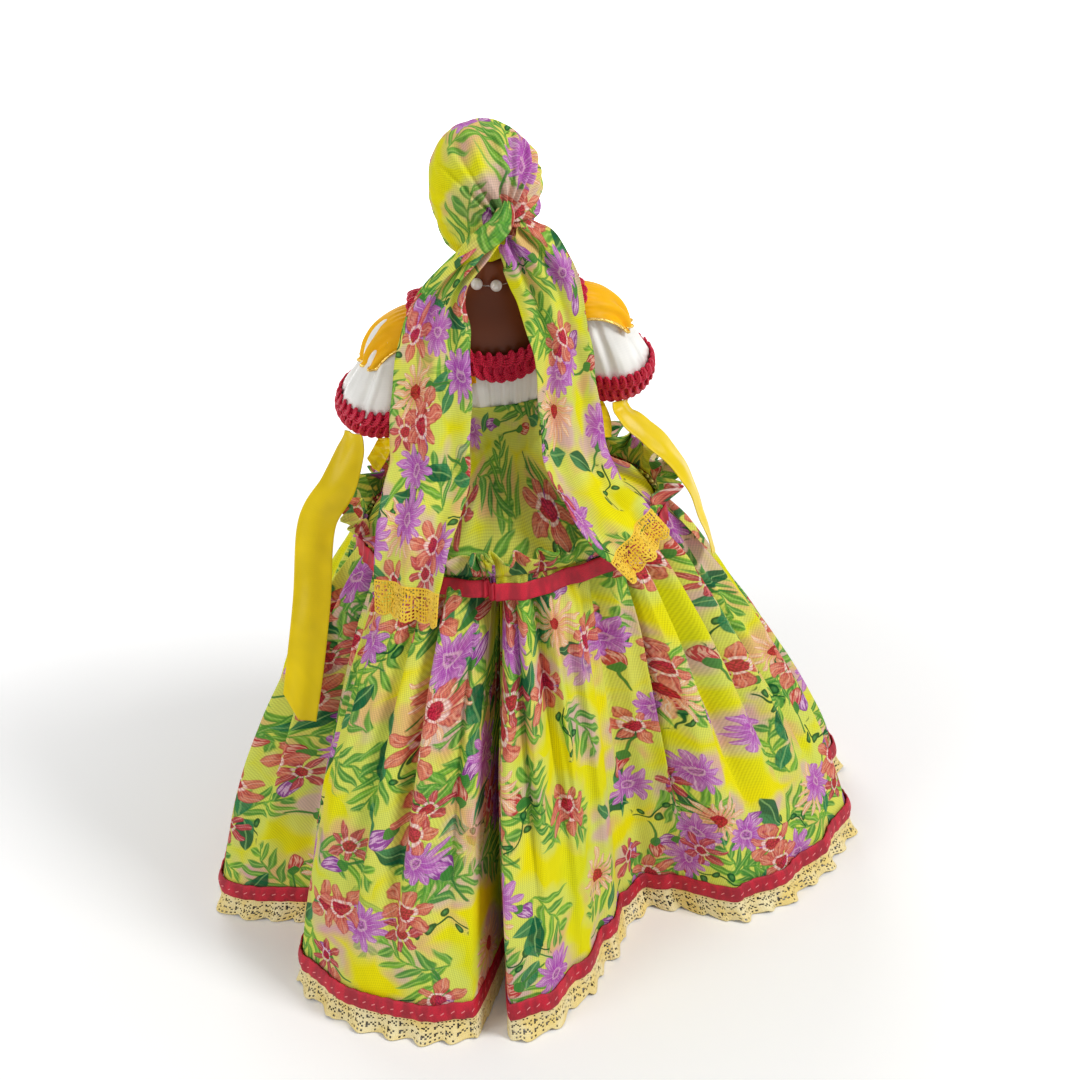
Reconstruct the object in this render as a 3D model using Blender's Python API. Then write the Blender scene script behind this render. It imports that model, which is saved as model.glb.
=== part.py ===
"""A moulded doll in a tiered cotton dress with headscarf, puffed sleeves, ribbons and lace.

The doll stands on the floor at z = 0, faces -Y, and its left side is +X. Lengths are in metres.
Every garment follows the form that it is worn on: the same section function gives the body, the
clearance gives the air between, and the cloth thickness gives the garment's outer side.
"""

import math

import bmesh
import bpy
from mathutils import Matrix, Vector

# Fits and cloth
seat_gap = 0.0004
cloth_gap = 0.0005
layer_gap = 0.0004
flounce_gap = 0.0008
braid_gap = 0.0009
overrun = 0.004
cotton = 0.0008
satin = 0.0007
lace = 0.0009
velvet = 0.0010
gimp = 0.0017
BODY_SIDES = 28
TUBE_SIDES = 12
THREAD_SIDES = 6
QUARTER = math.pi / 2
TURN = 2 * math.pi
sharp_turn = math.radians(50)
probe_turn = math.radians(1)
probe_share = 1 / 60

# Torso: the heights of its stations, then half width, half depth and forward shift at each
torso_foot_z = 0.1480
neck_top_z = 0.2877
torso_height = neck_top_z - torso_foot_z
shoulder_half_width = 0.0290
chest_half_depth = 0.0160
pelvis_half_width = 0.0055
torso_shares = (
    # height, half width as a share of the shoulders, half depth as a share of the chest, shift
    (0.000, 0.107, 0.30, 0.00),
    (0.025, 0.170, 0.50, 0.00),
    (0.145, 0.189, 0.60, 0.00),
    (0.150, 0.780, 0.92, 0.00),
    (0.215, 0.856, 1.02, 0.04),
    (0.290, 0.755, 0.90, 0.04),
    (0.380, 0.604, 0.70, 0.00),
    (0.440, 0.592, 0.68, -0.03),
    (0.520, 0.690, 0.82, -0.08),
    (0.610, 0.800, 0.98, -0.12),
    (0.690, 0.880, 1.00, -0.10),
    (0.760, 0.950, 0.96, -0.04),
    (0.815, 0.995, 0.86, 0.00),
    (0.855, 1.000, 0.74, 0.02),
    (0.888, 0.880, 0.66, 0.04),
    (0.915, 0.640, 0.60, 0.05),
    (0.940, 0.365, 0.57, 0.05),
    (0.970, 0.302, 0.54, 0.06),
    (1.000, 0.292, 0.53, 0.06),
)
torso_squareness = 2.3

# Neck peg and head socket
neck_peg_radius = 0.0052
neck_peg_height = 0.0150
neck_y = 0.0010
running_gap = 0.0004

# Head
head_foot_z = neck_top_z + seat_gap
head_height = 0.0502
head_half_width = 0.0196
head_half_depth = 0.0212
head_shares = (
    # height, half width, half depth, shift towards the back as a share of the half depth
    (0.000, 0.50, 0.58, -0.20),
    (0.030, 0.60, 0.70, -0.22),
    (0.090, 0.72, 0.80, -0.16),
    (0.180, 0.82, 0.88, -0.09),
    (0.290, 0.91, 0.94, -0.04),
    (0.400, 0.97, 0.98, -0.01),
    (0.520, 1.00, 1.00, 0.01),
    (0.640, 0.985, 0.99, 0.02),
    (0.750, 0.91, 0.92, 0.03),
    (0.850, 0.77, 0.79, 0.04),
    (0.930, 0.57, 0.59, 0.04),
    (0.980, 0.33, 0.35, 0.04),
    (1.000, 0.10, 0.11, 0.04),
)
face_shares = (
    # place across, of the half width; height and spread, of the head's height; relief, of the
    # half depth
    (0.00, 0.345, 0.052, 0.135),
    (0.00, 0.410, 0.045, 0.060),
    (0.00, 0.470, 0.050, 0.030),
    (0.44, 0.475, 0.085, -0.050),
    (-0.44, 0.475, 0.085, -0.050),
    (0.44, 0.575, 0.090, 0.020),
    (-0.44, 0.575, 0.090, 0.020),
    (0.52, 0.320, 0.110, 0.025),
    (-0.52, 0.320, 0.110, 0.025),
    (0.00, 0.225, 0.055, 0.060),
    (0.00, 0.075, 0.090, 0.050),
)
face_top_share = 0.65
face_fade_share = 1.4
face_half_turn = math.radians(59)
face_angle_step = math.radians(7.5)
back_angle_step = math.radians(15)

# Headscarf
wrap_gap = 0.0006
wrap_cloth = 0.0010
wrap_fold_height = 0.0015
WRAP_FOLDS = 11
WRAP_SIDES = 36
wrap_rim_shares = (0.060, 0.135, 0.720)
wrap_brow_power = 1.6
wrap_top_share = 0.998
wrap_rows_shares = (0.03, 0.10, 0.20, 0.34, 0.50, 0.66, 0.83, 1.0)
wrap_knot_turn = math.radians(38)
wrap_low_turn = math.radians(-62)
wrap_high_turn = math.radians(88)
knot_half_size = (0.0085, 0.0052, 0.0052)
knot_height_share = 0.3665
knot_z = head_foot_z + knot_height_share * head_height
knot_ridge_share = 0.10
knot_seat_share = 0.35

# Arms and legs
arm_axis_z = 0.2600
arm_axis_y = -0.0010
arm_gap = 0.0009
arm_peg_radius = 0.0042
arm_peg_length = 0.0120
shoulder_bend = 0.0095
elbow_ease = 0.0020
deltoid_radius = 0.0070
arm_radius_shares = (0.90, 0.86, 0.80, 0.76, 0.70, 0.62, 0.52)
elbow = (0.0460, -0.0165, 0.2215)
wrist = (0.0400, -0.0540, 0.2105)
fingertip = (0.0310, -0.0780, 0.2080)
hand_half_width = 0.0052
hand_half_thickness = 0.0030
hand_shares = (0.70, 0.98, 1.00, 0.88, 0.52)
hip_axis_z = 0.1585
leg_gap = 0.0006
leg_peg_radius = 0.0040
leg_peg_length = 0.0045
thigh_radius = 0.0092
thigh_bend_share = 1.03
hip_disc_share = 0.93
leg_spread = 0.0002
ankle_z = 0.0160
leg_shares = (
    # height between hip and ankle, radius as a share of the thigh
    (0.90, 1.00),
    (0.70, 0.94),
    (0.52, 0.74),
    (0.44, 0.66),
    (0.32, 0.70),
    (0.20, 0.62),
    (0.08, 0.48),
    (0.00, 0.457),
)
shoe_length = 0.0300
shoe_half_width = 0.0072
shoe_heel_share = 0.30
shoe_height = ankle_z - seat_gap
shoe_shares = (
    # height, length forward, length back, width
    (0.00, 0.97, 0.95, 0.92),
    (0.06, 1.00, 1.00, 1.00),
    (0.30, 0.98, 0.98, 1.00),
    (0.55, 0.72, 0.90, 0.92),
    (0.80, 0.30, 0.76, 0.80),
    (1.00, 0.22, 0.70, 0.74),
)

# Sleeves, cuffs and shoulder flounces
sleeve_mouth = (0.0480, -0.0130, 0.2240)
sleeve_lean = math.radians(24)
sleeve_mouth_radius = 0.0150
sleeve_puff = 0.0060
sleeve_puff_share = 1.15
sleeve_puff_power = 0.8
SLEEVE_SECTIONS = 4
cuff_share = 0.70
FLOUNCE_ROWS = 6
FLOUNCE_COLUMNS = 15
flounce_spread = math.radians(112)
flounce_drop_share = 0.62
flounce_drop_power = 1.4

# Blouse, collar and neckline braid. The braid stands on back and chest and lies on the shoulders
blouse_foot_z = 0.2170
blouse_top_z = 0.2445
blouse_side_rise = 0.0030
braid_foot_z = 0.2400
braid_width = 0.0120
braid_reach = 0.0340
braid_side_depth = 0.0195
braid_squareness = 4.0
braid_side_z = 0.2732
braid_side_width = 0.0080
braid_side_rise = 0.0015
BRAID_ROWS = 3
braid_rise_power = 2.6
collar_depth = 0.0105
collar_point_share = 0.35
collar_point_power = 0.7
collar_split = math.radians(24)
collar_end = math.radians(66)

# Bodice, from the bust to the seam that carries the skirt
bodice_top_z = 0.2285
waist_z = 0.2040
seam_z = 0.1735
seam_depth = 0.0070
seam_half_width = 0.0600
seam_half_depth = 0.0520
flare_shares = (
    # height between seam and waist, spread between waist and seam
    (0.82, 0.10),
    (0.60, 0.32),
    (0.38, 0.60),
    (0.16, 0.88),
    (0.00, 1.00),
)

# Skirt
cloth_foot_z = 0.0105
hem_radius = 0.1500
skirt_curve = 1.35
fold_step = 5.2
gather_height = 0.0014
hem_lace_top_z = cloth_foot_z - seat_gap
ribbon_width = 0.0075
ribbon_top_z = cloth_foot_z + ribbon_width
fold_table_shares = (
    # degrees from +X towards +Y, hem radius as a share of hem_radius: ridges and valleys
    (3, 0.97), (18, 0.72), (32, 0.90), (44, 0.92), (57, 0.90), (66, 0.86), (69.5, 0.58),
    (73, 0.86), (79, 0.83), (87, 0.72), (97, 0.59), (108, 0.49), (118, 0.46), (124, 0.52),
    (131, 0.72), (143, 0.81), (154, 0.88), (165, 0.94), (174, 0.84), (183, 0.97), (191, 0.97),
    (203, 0.80), (214, 0.93), (226, 0.76), (238, 0.87), (250, 0.72), (261, 0.84), (271, 0.74),
    (282, 0.85), (294, 0.72), (306, 0.90), (318, 0.76), (331, 0.93), (345, 0.80), (355, 0.94),
)
skirt_steps_shares = (0.22, 0.40, 0.60, 0.80)
frill_height = 0.0115
frill_spread = 0.0045
frill_wave = 0.0030
frill_drift_share = 0.6
FRILL_DRIFTS = 5
band_height = 0.0070
lace_foot_z = 0.0

# Scarf tails. Each row: across, as a share of the hip seam's half width; back, as a share of
# its half depth; height between the seam and the knot's foot; width; turn outward, of a radian
tail_half_width = 0.0170
tail_fold = 0.0022
tail_edge_share = 0.4
STRIP_POINTS = 5
left_tail_shares = (
    (0.125, 0.480, 1.000, 0.38, 0.00),
    (0.130, 0.483, 0.965, 0.38, 0.00),
    (0.190, 0.487, 0.926, 0.40, 0.00),
    (0.275, 0.489, 0.887, 0.46, 0.02),
    (0.345, 0.494, 0.849, 0.55, 0.05),
    (0.415, 0.502, 0.792, 0.66, 0.08),
    (0.460, 0.508, 0.726, 0.76, 0.12),
    (0.490, 0.518, 0.647, 0.86, 0.20),
    (0.525, 0.529, 0.546, 0.91, 0.25),
    (0.565, 0.577, 0.420, 0.93, 0.30),
    (0.600, 0.635, 0.318, 0.95, 0.40),
    (0.680, 0.748, 0.232, 0.98, 0.55),
    (0.770, 0.871, 0.161, 1.00, 0.70),
    (0.830, 0.960, 0.090, 0.98, 0.75),
    (0.860, 1.010, 0.020, 0.94, 0.80),
)
right_tail_shares = (
    (0.125, 0.480, 1.000, 0.38, 0.00),
    (0.132, 0.483, 0.965, 0.42, 0.00),
    (0.190, 0.487, 0.926, 0.52, 0.00),
    (0.245, 0.489, 0.887, 0.64, 0.02),
    (0.280, 0.491, 0.849, 0.72, 0.05),
    (0.308, 0.500, 0.792, 0.74, 0.08),
    (0.324, 0.506, 0.726, 0.72, 0.10),
    (0.336, 0.519, 0.647, 0.71, 0.20),
    (0.350, 0.529, 0.546, 0.73, 0.20),
    (0.360, 0.577, 0.420, 0.77, 0.20),
    (0.355, 0.663, 0.318, 0.82, 0.25),
    (0.385, 0.808, 0.247, 0.86, 0.35),
    (0.440, 0.981, 0.196, 0.90, 0.50),
    (0.520, 1.106, 0.149, 0.90, 0.60),
    (0.600, 1.135, 0.098, 0.84, 0.65),
)
tail_lace_depth = 0.0130

# Ribbons below the cuffs, each from its own place on the cuff's rim, counted round from the
# outer side to the back. Each row: out and back from there, as shares of the hem's reach; down,
# as a share of the mouth's height; width; turn outward, of a radian
ribbon_half_width = 0.0078
ribbon_curl = 0.0012
left_ribbon_turn = math.radians(38)
left_ribbon_shares = (
    (0.000, 0.000, 0.009, 0.60, 0.90),
    (0.001, 0.001, 0.020, 0.66, 0.84),
    (0.016, 0.010, 0.046, 0.80, 0.66),
    (0.063, 0.032, 0.104, 0.95, 0.42),
    (0.133, 0.036, 0.175, 1.00, 0.30),
    (0.179, 0.103, 0.309, 1.00, 0.25),
    (0.229, 0.163, 0.434, 1.00, 0.20),
    (0.266, 0.203, 0.519, 0.95, 0.20),
)
left_tie_turn = math.radians(85)
left_tie_shares = (
    (0.000, 0.000, 0.004, 0.35, 0.30),
    (0.002, 0.006, 0.012, 0.40, 0.30),
    (0.019, 0.026, 0.026, 0.45, 0.30),
    (0.046, 0.046, 0.044, 0.45, 0.30),
)
right_ribbon_turn = math.radians(88)
right_ribbon_shares = (
    (0.000, 0.000, 0.003, 0.60, 0.00),
    (0.001, 0.006, 0.016, 0.66, 0.02),
    (0.020, 0.026, 0.034, 0.80, 0.08),
    (0.057, 0.043, 0.055, 0.92, 0.15),
    (0.110, 0.060, 0.084, 1.00, 0.30),
    (0.170, 0.100, 0.149, 1.00, 0.70),
    (0.197, 0.140, 0.238, 0.95, 1.10),
    (0.203, 0.180, 0.296, 0.90, 1.20),
)
right_tie_turn = math.radians(126)
right_tie_shares = (
    (0.000, 0.000, 0.008, 0.50, -0.60),
    (-0.001, 0.004, 0.018, 0.62, -0.50),
    (-0.007, 0.030, 0.040, 0.85, -0.20),
    (-0.011, 0.050, 0.068, 0.85, 0.00),
)

# Necklace
necklace_z = 0.2822
pearl_radius = 0.0022
thread_radius = 0.0004
PEARL_COUNT = 11
pearl_section_shares = (-1.0, -0.72, 0.0, 0.72, 1.0)
pearl_seat_share = 1.0


def sign_power(value, power):
    """Raises a value to a power and keeps its sign, for the squarer ovals."""
    return math.copysign(abs(value) ** power, value)


def oval(angle, half_width, half_depth, squareness=2.0):
    """A point of an oval outline: round at squareness 2, squarer above."""
    power = 2.0 / squareness
    return Vector((half_width * sign_power(math.cos(angle), power),
                   half_depth * sign_power(math.sin(angle), power), 0.0))


def between(low, high, share):
    return low + (high - low) * share


def even_angles(count):
    return [TURN * i / count for i in range(count)]


def table_row(rows, share):
    """The row of a table at a share of its height, straight between its neighbours."""
    share = min(max(share, rows[0][0]), rows[-1][0])
    for lower, upper in zip(rows, rows[1:]):
        if share <= upper[0]:
            step = (share - lower[0]) / (upper[0] - lower[0])
            return [between(a, b, step) for a, b in zip(lower[1:], upper[1:])]
    return list(rows[-1][1:])


def torso_point(angle, z):
    width, depth, shift = table_row(torso_shares, (z - torso_foot_z) / torso_height)
    point = oval(angle, width * shoulder_half_width, depth * chest_half_depth, torso_squareness)
    return point + Vector((0.0, shift * chest_half_depth, z))


def head_point(angle, z):
    width, depth, shift = table_row(head_shares, (z - head_foot_z) / head_height)
    point = oval(angle, width * head_half_width, depth * head_half_depth)
    return point + Vector((0.0, shift * head_half_depth, z))


def lifted(form, angle, z, offset, height):
    """A point that lies a clearance off a form, along the form's own normal."""
    step = height * probe_share
    across = form(angle + probe_turn, z) - form(angle - probe_turn, z)
    upward = form(angle, z + step) - form(angle, z - step)
    normal = across.cross(upward).normalized()
    return form(angle, z) + normal * offset


def set_ring(verts, points):
    for vert, point in zip(verts, points):
        vert.co = point


def next_ring(bm, ring, points):
    """Extrudes a closed ring of edges once and puts the new ring on its points."""
    edges = [bm.edges.get((ring[i - 1], ring[i])) for i in range(len(ring))]
    made = bmesh.ops.extrude_edge_only(bm, edges=edges)["geom"]
    fresh = {tuple(v.co): v for v in made if isinstance(v, bmesh.types.BMVert)}
    following = [fresh[tuple(v.co)] for v in ring]
    set_ring(following, points)
    return following


def cap_ring(bm, ring):
    edges = [bm.edges.get((ring[i - 1], ring[i])) for i in range(len(ring))]
    bmesh.ops.contextual_create(bm, geom=edges)


def cap_strip(bm, ring):
    """Closes the cut end of a panel with a row of faces from its outer to its inner side."""
    count = len(ring)
    for i in range(count // 2 - 1):
        bm.faces.new((ring[i], ring[i + 1], ring[count - 2 - i], ring[count - 1 - i]))


def split_faces(bm, rings, turned):
    """Splits each four-sided face once, so that the two sides of a cloth fold alike."""
    for k, (upper, lower) in enumerate(zip(rings, rings[1:])):
        for i in range(len(upper)):
            corners = (upper[i - 1], upper[i], lower[i], lower[i - 1])
            start, end = (1, 3) if turned(k, i) else (0, 2)
            face = bm.faces.get(corners)
            bmesh.utils.face_split(face, corners[start], corners[end])


def loft(sections, hoop=False, turned=None, cap=cap_ring):
    """Skins equal rings one after another, with closed ends, or as a hoop that meets itself."""
    bm = bmesh.new()
    count = len(sections[0])
    rings = [list(bmesh.ops.create_circle(bm, radius=1.0, segments=count)["verts"])]
    set_ring(rings[0], sections[0])
    for section in sections[1:]:
        rings.append(next_ring(bm, rings[-1], section))
    if hoop:
        rings.append(rings[0])
        for i in range(count):
            bm.faces.new((rings[-2][i - 1], rings[-2][i], rings[0][i], rings[0][i - 1]))
    else:
        cap(bm, rings[0])
        cap(bm, rings[-1])
    if turned is None:
        half = len(sections) // 2
        turned = lambda k, i: k >= half
    split_faces(bm, rings, turned)
    bmesh.ops.recalc_face_normals(bm, faces=bm.faces)
    return bm


def material(name, colour, roughness, metallic=0.0):
    made = bpy.data.materials.get(name)
    if made is None:
        made = bpy.data.materials.new(name)
        made.use_nodes = True
        shader = made.node_tree.nodes["Principled BSDF"]
        shader.inputs["Base Color"].default_value = (*colour, 1.0)
        shader.inputs["Roughness"].default_value = roughness
        shader.inputs["Metallic"].default_value = metallic
    return made


def vinyl():
    return material("brown_vinyl", (0.105, 0.024, 0.010), 0.42)


def print_cotton():
    return material("print_cotton", (0.82, 0.78, 0.03), 0.85)


def white_satin():
    return material("white_satin", (0.83, 0.82, 0.78), 0.35)


def orange_satin():
    return material("orange_satin", (0.92, 0.45, 0.02), 0.32)


def red_gimp():
    return material("red_gimp", (0.42, 0.008, 0.030), 0.60)


def red_velvet():
    return material("red_velvet", (0.50, 0.008, 0.025), 0.65)


def yellow_ribbon():
    return material("yellow_ribbon", (0.90, 0.68, 0.01), 0.30)


def yellow_lace():
    return material("yellow_lace", (0.88, 0.66, 0.12), 0.80)


def pearl():
    return material("pearl", (0.86, 0.82, 0.74), 0.22)


def shoe_plastic():
    return material("shoe_plastic", (0.62, 0.010, 0.020), 0.35)


def pivot(name, place, parent=None):
    """An empty on a joint's axis, which carries the pieces that turn there."""
    empty = bpy.data.objects.new(name, None)
    bpy.context.scene.collection.objects.link(empty)
    empty.location = place
    if parent is not None:
        empty.parent = parent
    return empty


def make_object(name, bm, look, carrier):
    """Turns a mesh in world places into an object whose origin is its carrier's."""
    mesh = bpy.data.meshes.new(name)
    bm.transform(Matrix.Translation(-carrier.location))
    bm.to_mesh(mesh)
    bm.free()
    mesh.shade_smooth()
    mesh.set_sharp_from_angle(angle=sharp_turn)
    mesh.materials.append(look)
    made = bpy.data.objects.new(name, mesh)
    bpy.context.scene.collection.objects.link(made)
    made.parent = carrier
    return made


def bored(target, name, place, axis, radius, length):
    """Cuts a round bore through a piece with a cutter that is kept out of the model."""
    bm = bmesh.new()
    bmesh.ops.create_cone(bm, cap_ends=True, segments=20, radius1=radius, radius2=radius,
                          depth=length)
    bmesh.ops.rotate(bm, verts=bm.verts, matrix=axis.to_track_quat("Z", "Y").to_matrix())
    bmesh.ops.translate(bm, verts=bm.verts, vec=place)
    cutter = make_object(name, bm, vinyl(), target.parent)
    cutter.hide_render = True
    cutter.display_type = "WIRE"
    cut = target.modifiers.new(name, "BOOLEAN")
    cut.operation = "DIFFERENCE"
    cut.object = cutter


def make_torso(carrier):
    """The moulded trunk with the neck peg, bored across for the arm and leg pegs."""
    angles = even_angles(BODY_SIDES)
    heights = [between(torso_foot_z, neck_top_z, row[0]) for row in torso_shares]
    rings = [[torso_point(a, z) for a in angles] for z in heights]
    for z in (neck_top_z, neck_top_z + neck_peg_height):
        rings.append([Vector((neck_peg_radius * math.cos(a),
                              neck_y + neck_peg_radius * math.sin(a), z)) for a in angles])
    torso = make_object("torso", loft(rings), vinyl(), carrier)
    across = Vector((1.0, 0.0, 0.0))
    span = 2 * (shoulder_half_width + overrun)
    bored(torso, "arm_bore", Vector((0.0, arm_axis_y, arm_axis_z)), across,
          arm_peg_radius + running_gap, span)
    bored(torso, "leg_bore", Vector((0.0, 0.0, hip_axis_z)), across,
          leg_peg_radius + running_gap, 2 * (pelvis_half_width + overrun))


def head_angles():
    """Angles round the head, close together over the face at 270 degrees and wider behind."""
    angles = []
    angle = math.radians(-150)
    while angle < math.radians(210) - probe_turn:
        facing = abs(angle + QUARTER) < face_half_turn
        angles.append(angle)
        angle += face_angle_step if facing else back_angle_step
    return angles


def face_relief(point, z):
    """How far the face stands out here: nose, brows, cheeks, lips and chin, or in at the eyes."""
    total = 0.0
    for across, up, spread, relief in face_shares:
        dx = point.x - across * head_half_width
        dz = z - between(head_foot_z, head_foot_z + head_height, up)
        reach = spread * head_height
        total += relief * head_half_depth * math.exp(-(dx * dx + dz * dz) / (reach * reach))
    return total


def make_head(carrier):
    """The moulded head: the peg's socket, the flat under the chin, the face and the crown."""
    angles = head_angles()
    socket = neck_peg_radius + running_gap
    rings = []
    for z in (neck_top_z + neck_peg_height + running_gap, head_foot_z):
        rings.append([Vector((socket * math.cos(a), neck_y + socket * math.sin(a), z))
                      for a in angles])
    stations = [row[0] for row in head_shares]
    for lower, upper in zip(stations, stations[1:]):
        rings.append(head_ring(angles, lower))
        if upper <= face_top_share:
            rings.append(head_ring(angles, (lower + upper) / 2))
    rings.append(head_ring(angles, stations[-1]))
    make_object("head", loft(rings), vinyl(), carrier)


def head_ring(angles, share):
    z = between(head_foot_z, head_foot_z + head_height, share)
    ring = []
    for angle in angles:
        point = head_point(angle, z)
        if math.sin(angle) < 0.0:
            point.y -= face_relief(point, z) * min(1.0, -face_fade_share * math.sin(angle))
        ring.append(point)
    return ring


def wrap_rim_share(angle):
    """The scarf's edge: low at the nape, over the ears at the sides, at the hairline in front."""
    nape, side, brow = wrap_rim_shares
    facing = -math.sin(angle)
    if facing < 0.0:
        return between(side, nape, -facing)
    return between(side, brow, facing ** wrap_brow_power)


def wrap_fold(angle, share):
    """Folds of the scarf that run together at the knot behind the nape."""
    toward_knot = Vector((0.0, math.cos(wrap_knot_turn), -math.sin(wrap_knot_turn)))
    lift = between(wrap_low_turn, wrap_high_turn, share)
    ray = Vector((math.cos(angle) * math.cos(lift), math.sin(angle) * math.cos(lift),
                  math.sin(lift)))
    side = ray.dot(Vector((1.0, 0.0, 0.0)))
    rise = ray.dot(toward_knot.cross(Vector((1.0, 0.0, 0.0))))
    bearing = math.atan2(side, rise)
    spread = math.sqrt(max(0.0, 1.0 - ray.dot(toward_knot) ** 2))
    return 0.5 * (1.0 + math.cos(WRAP_FOLDS * bearing)) * spread


def wrap_ring(angles, share, offset, folded):
    ring = []
    for angle in angles:
        height_share = between(1.0, wrap_rim_share(angle), share)
        z = between(head_foot_z, head_foot_z + head_height, min(height_share, wrap_top_share))
        fold = wrap_fold_height * wrap_fold(angle, height_share) if folded else 0.0
        ring.append(lifted(head_point, angle, z, offset + fold, head_height))
    return ring


def make_wrap(carrier):
    """The headscarf drawn over the head: outer folds down to its edge, then the inner side."""
    angles = even_angles(WRAP_SIDES)
    rings = [wrap_ring(angles, s, wrap_gap, False) for s in wrap_rows_shares]
    rings += [wrap_ring(angles, s, wrap_gap + wrap_cloth, True)
              for s in reversed(wrap_rows_shares)]
    crown = head_foot_z + head_height
    for ring, height in ((rings[0], crown + wrap_gap), (rings[-1], crown + wrap_gap + wrap_cloth)):
        for point in ring:
            point.z = max(point.z, height)
    make_object("head_wrap", loft(rings), print_cotton(), carrier)


def make_knot(carrier):
    """The knot at the nape, a small roll with turns of cloth across it."""
    bm = bmesh.new()
    bmesh.ops.create_uvsphere(bm, u_segments=14, v_segments=8, radius=1.0)
    wide, deep, tall = knot_half_size
    cloth = wrap_gap + wrap_cloth + knot_seat_share * wrap_fold_height
    nape = lifted(head_point, QUARTER, knot_z, cloth, head_height)
    place = Vector((0.0, nape.y + deep + seat_gap, knot_z))
    for vert in bm.verts:
        swell = 1.0 - knot_ridge_share * (1.0 - math.cos(6 * vert.co.x)) / 2
        vert.co = Vector((vert.co.x * wide, vert.co.y * deep * swell,
                          vert.co.z * tall * swell)) + place
    make_object("scarf_knot", bm, print_cotton(), carrier)


def smooth_route(points, steps):
    """Points of a smooth curve through the route's own points, steps to each stretch."""
    padded = [points[0] * 2 - points[1], *points, points[-1] * 2 - points[-2]]
    curve = []
    for i in range(1, len(padded) - 2):
        p0, p1, p2, p3 = padded[i - 1:i + 3]
        for k in range(steps):
            t = k / steps
            curve.append(0.5 * (2 * p1 + (p2 - p0) * t + (2 * p0 - 5 * p1 + 4 * p2 - p3) * t ** 2
                                + (3 * p1 - p0 - 3 * p2 + p3) * t ** 3))
    curve.append(points[-1])
    return curve


def directions(curve):
    return [(curve[min(i + 1, len(curve) - 1)] - curve[max(i - 1, 0)]).normalized()
            for i in range(len(curve))]


def arm_route(side):
    """The arm's centre line, from the shoulder's flat round the bend and down to the wrist."""
    start = Vector((side * (shoulder_half_width + arm_gap), arm_axis_y, arm_axis_z))
    bend = [start + Vector((side * shoulder_bend * math.sin(t), 0.0,
                            -shoulder_bend * (1.0 - math.cos(t))))
            for t in (QUARTER * k / 4 for k in range(5))]
    joint = mirrored(elbow, side)
    hand = mirrored(wrist, side)
    lower = smooth_route([bend[-1], between(bend[-1], joint, 0.5) + Vector((0.0, elbow_ease, 0.0)),
                          joint, between(joint, hand, 0.5), hand], 2)
    return bend, lower


def mirrored(place, side):
    return Vector((side * place[0], place[1], place[2]))


def shoulder_frame(side, turn):
    """The section's own directions in the shoulder's bend: away from the bend, and back."""
    outward = Vector((side * math.sin(turn), 0.0, math.cos(turn)))
    return outward, Vector((0.0, 1.0, 0.0))


def ring_at(centre, first, second, radii):
    count = len(radii)
    return [centre + first * radii[i] * math.cos(TURN * i / count)
            + second * radii[i] * math.sin(TURN * i / count) for i in range(count)]


def arm_frames(side):
    """Centre, outward and back directions of the arm's sections from shoulder to wrist."""
    bend, lower = arm_route(side)
    frames = []
    for k, centre in enumerate(bend):
        frames.append((centre, *shoulder_frame(side, QUARTER * k / 4)))
    course = directions([*bend[-2:], *lower[1:]])[2:]
    for centre, direction in zip(lower[1:], course):
        outward = Vector((float(side), 0.0, 0.0))
        outward = (outward - direction * direction.dot(outward)).normalized()
        back = outward.cross(direction).normalized() * side
        frames.append((centre, outward, back))
    return frames


def make_arm(label, side, carrier):
    """Peg, shoulder, bent arm and a mitten hand in one skin."""
    frames = arm_frames(side)
    start = frames[0][0]
    up, back = shoulder_frame(side, 0.0)
    rings = []
    for reach, radius in ((arm_peg_length, arm_peg_radius), (0.0, arm_peg_radius)):
        centre = start - Vector((side * reach, 0.0, 0.0))
        rings.append(ring_at(centre, up, back, [radius] * TUBE_SIDES))
    radii = [1.0, 1.0, 1.0, 1.0, 1.0]
    lower_count = len(frames) - len(radii)
    for k in range(lower_count):
        place = (k + 1) / lower_count * (len(arm_radius_shares) - 1)
        low = int(min(place, len(arm_radius_shares) - 2))
        radii.append(between(arm_radius_shares[low], arm_radius_shares[low + 1], place - low))
    for (centre, first, second), share in zip(frames, radii):
        rings.append(ring_at(centre, first, second, [share * deltoid_radius] * TUBE_SIDES))
    rings += hand_rings(side, frames[-1])
    make_object(label + "_arm", loft(rings), vinyl(), carrier)


def hand_rings(side, last_frame):
    centre, outward, back = last_frame
    tip = mirrored(fingertip, side)
    rings = []
    count = len(hand_shares)
    for k, share in enumerate(hand_shares):
        middle = between(centre, tip, (k + 1) / count)
        ring = []
        for i in range(TUBE_SIDES):
            turn = TURN * i / TUBE_SIDES
            ring.append(middle + outward * hand_half_thickness * share * math.cos(turn)
                        + back * hand_half_width * share * math.sin(turn))
        rings.append(ring)
    return rings


def sleeve_frames(side):
    """The sleeve's sections: round the shoulder with the arm, then leaning to its own mouth."""
    frames = arm_frames(side)[:5]
    top = frames[-1][0]
    mouth = mirrored(sleeve_mouth, side)
    for k in range(1, SLEEVE_SECTIONS + 1):
        share = k / SLEEVE_SECTIONS
        lean = sleeve_lean * share
        outward = Vector((float(side), 0.0, 0.0))
        back = Vector((0.0, math.cos(lean), -math.sin(lean)))
        ease = Vector((0.0, -(mouth.y - top.y) * share * (1.0 - share), 0.0))
        frames.append((between(top, mouth, share) + ease, outward, back))
    return frames


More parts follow.
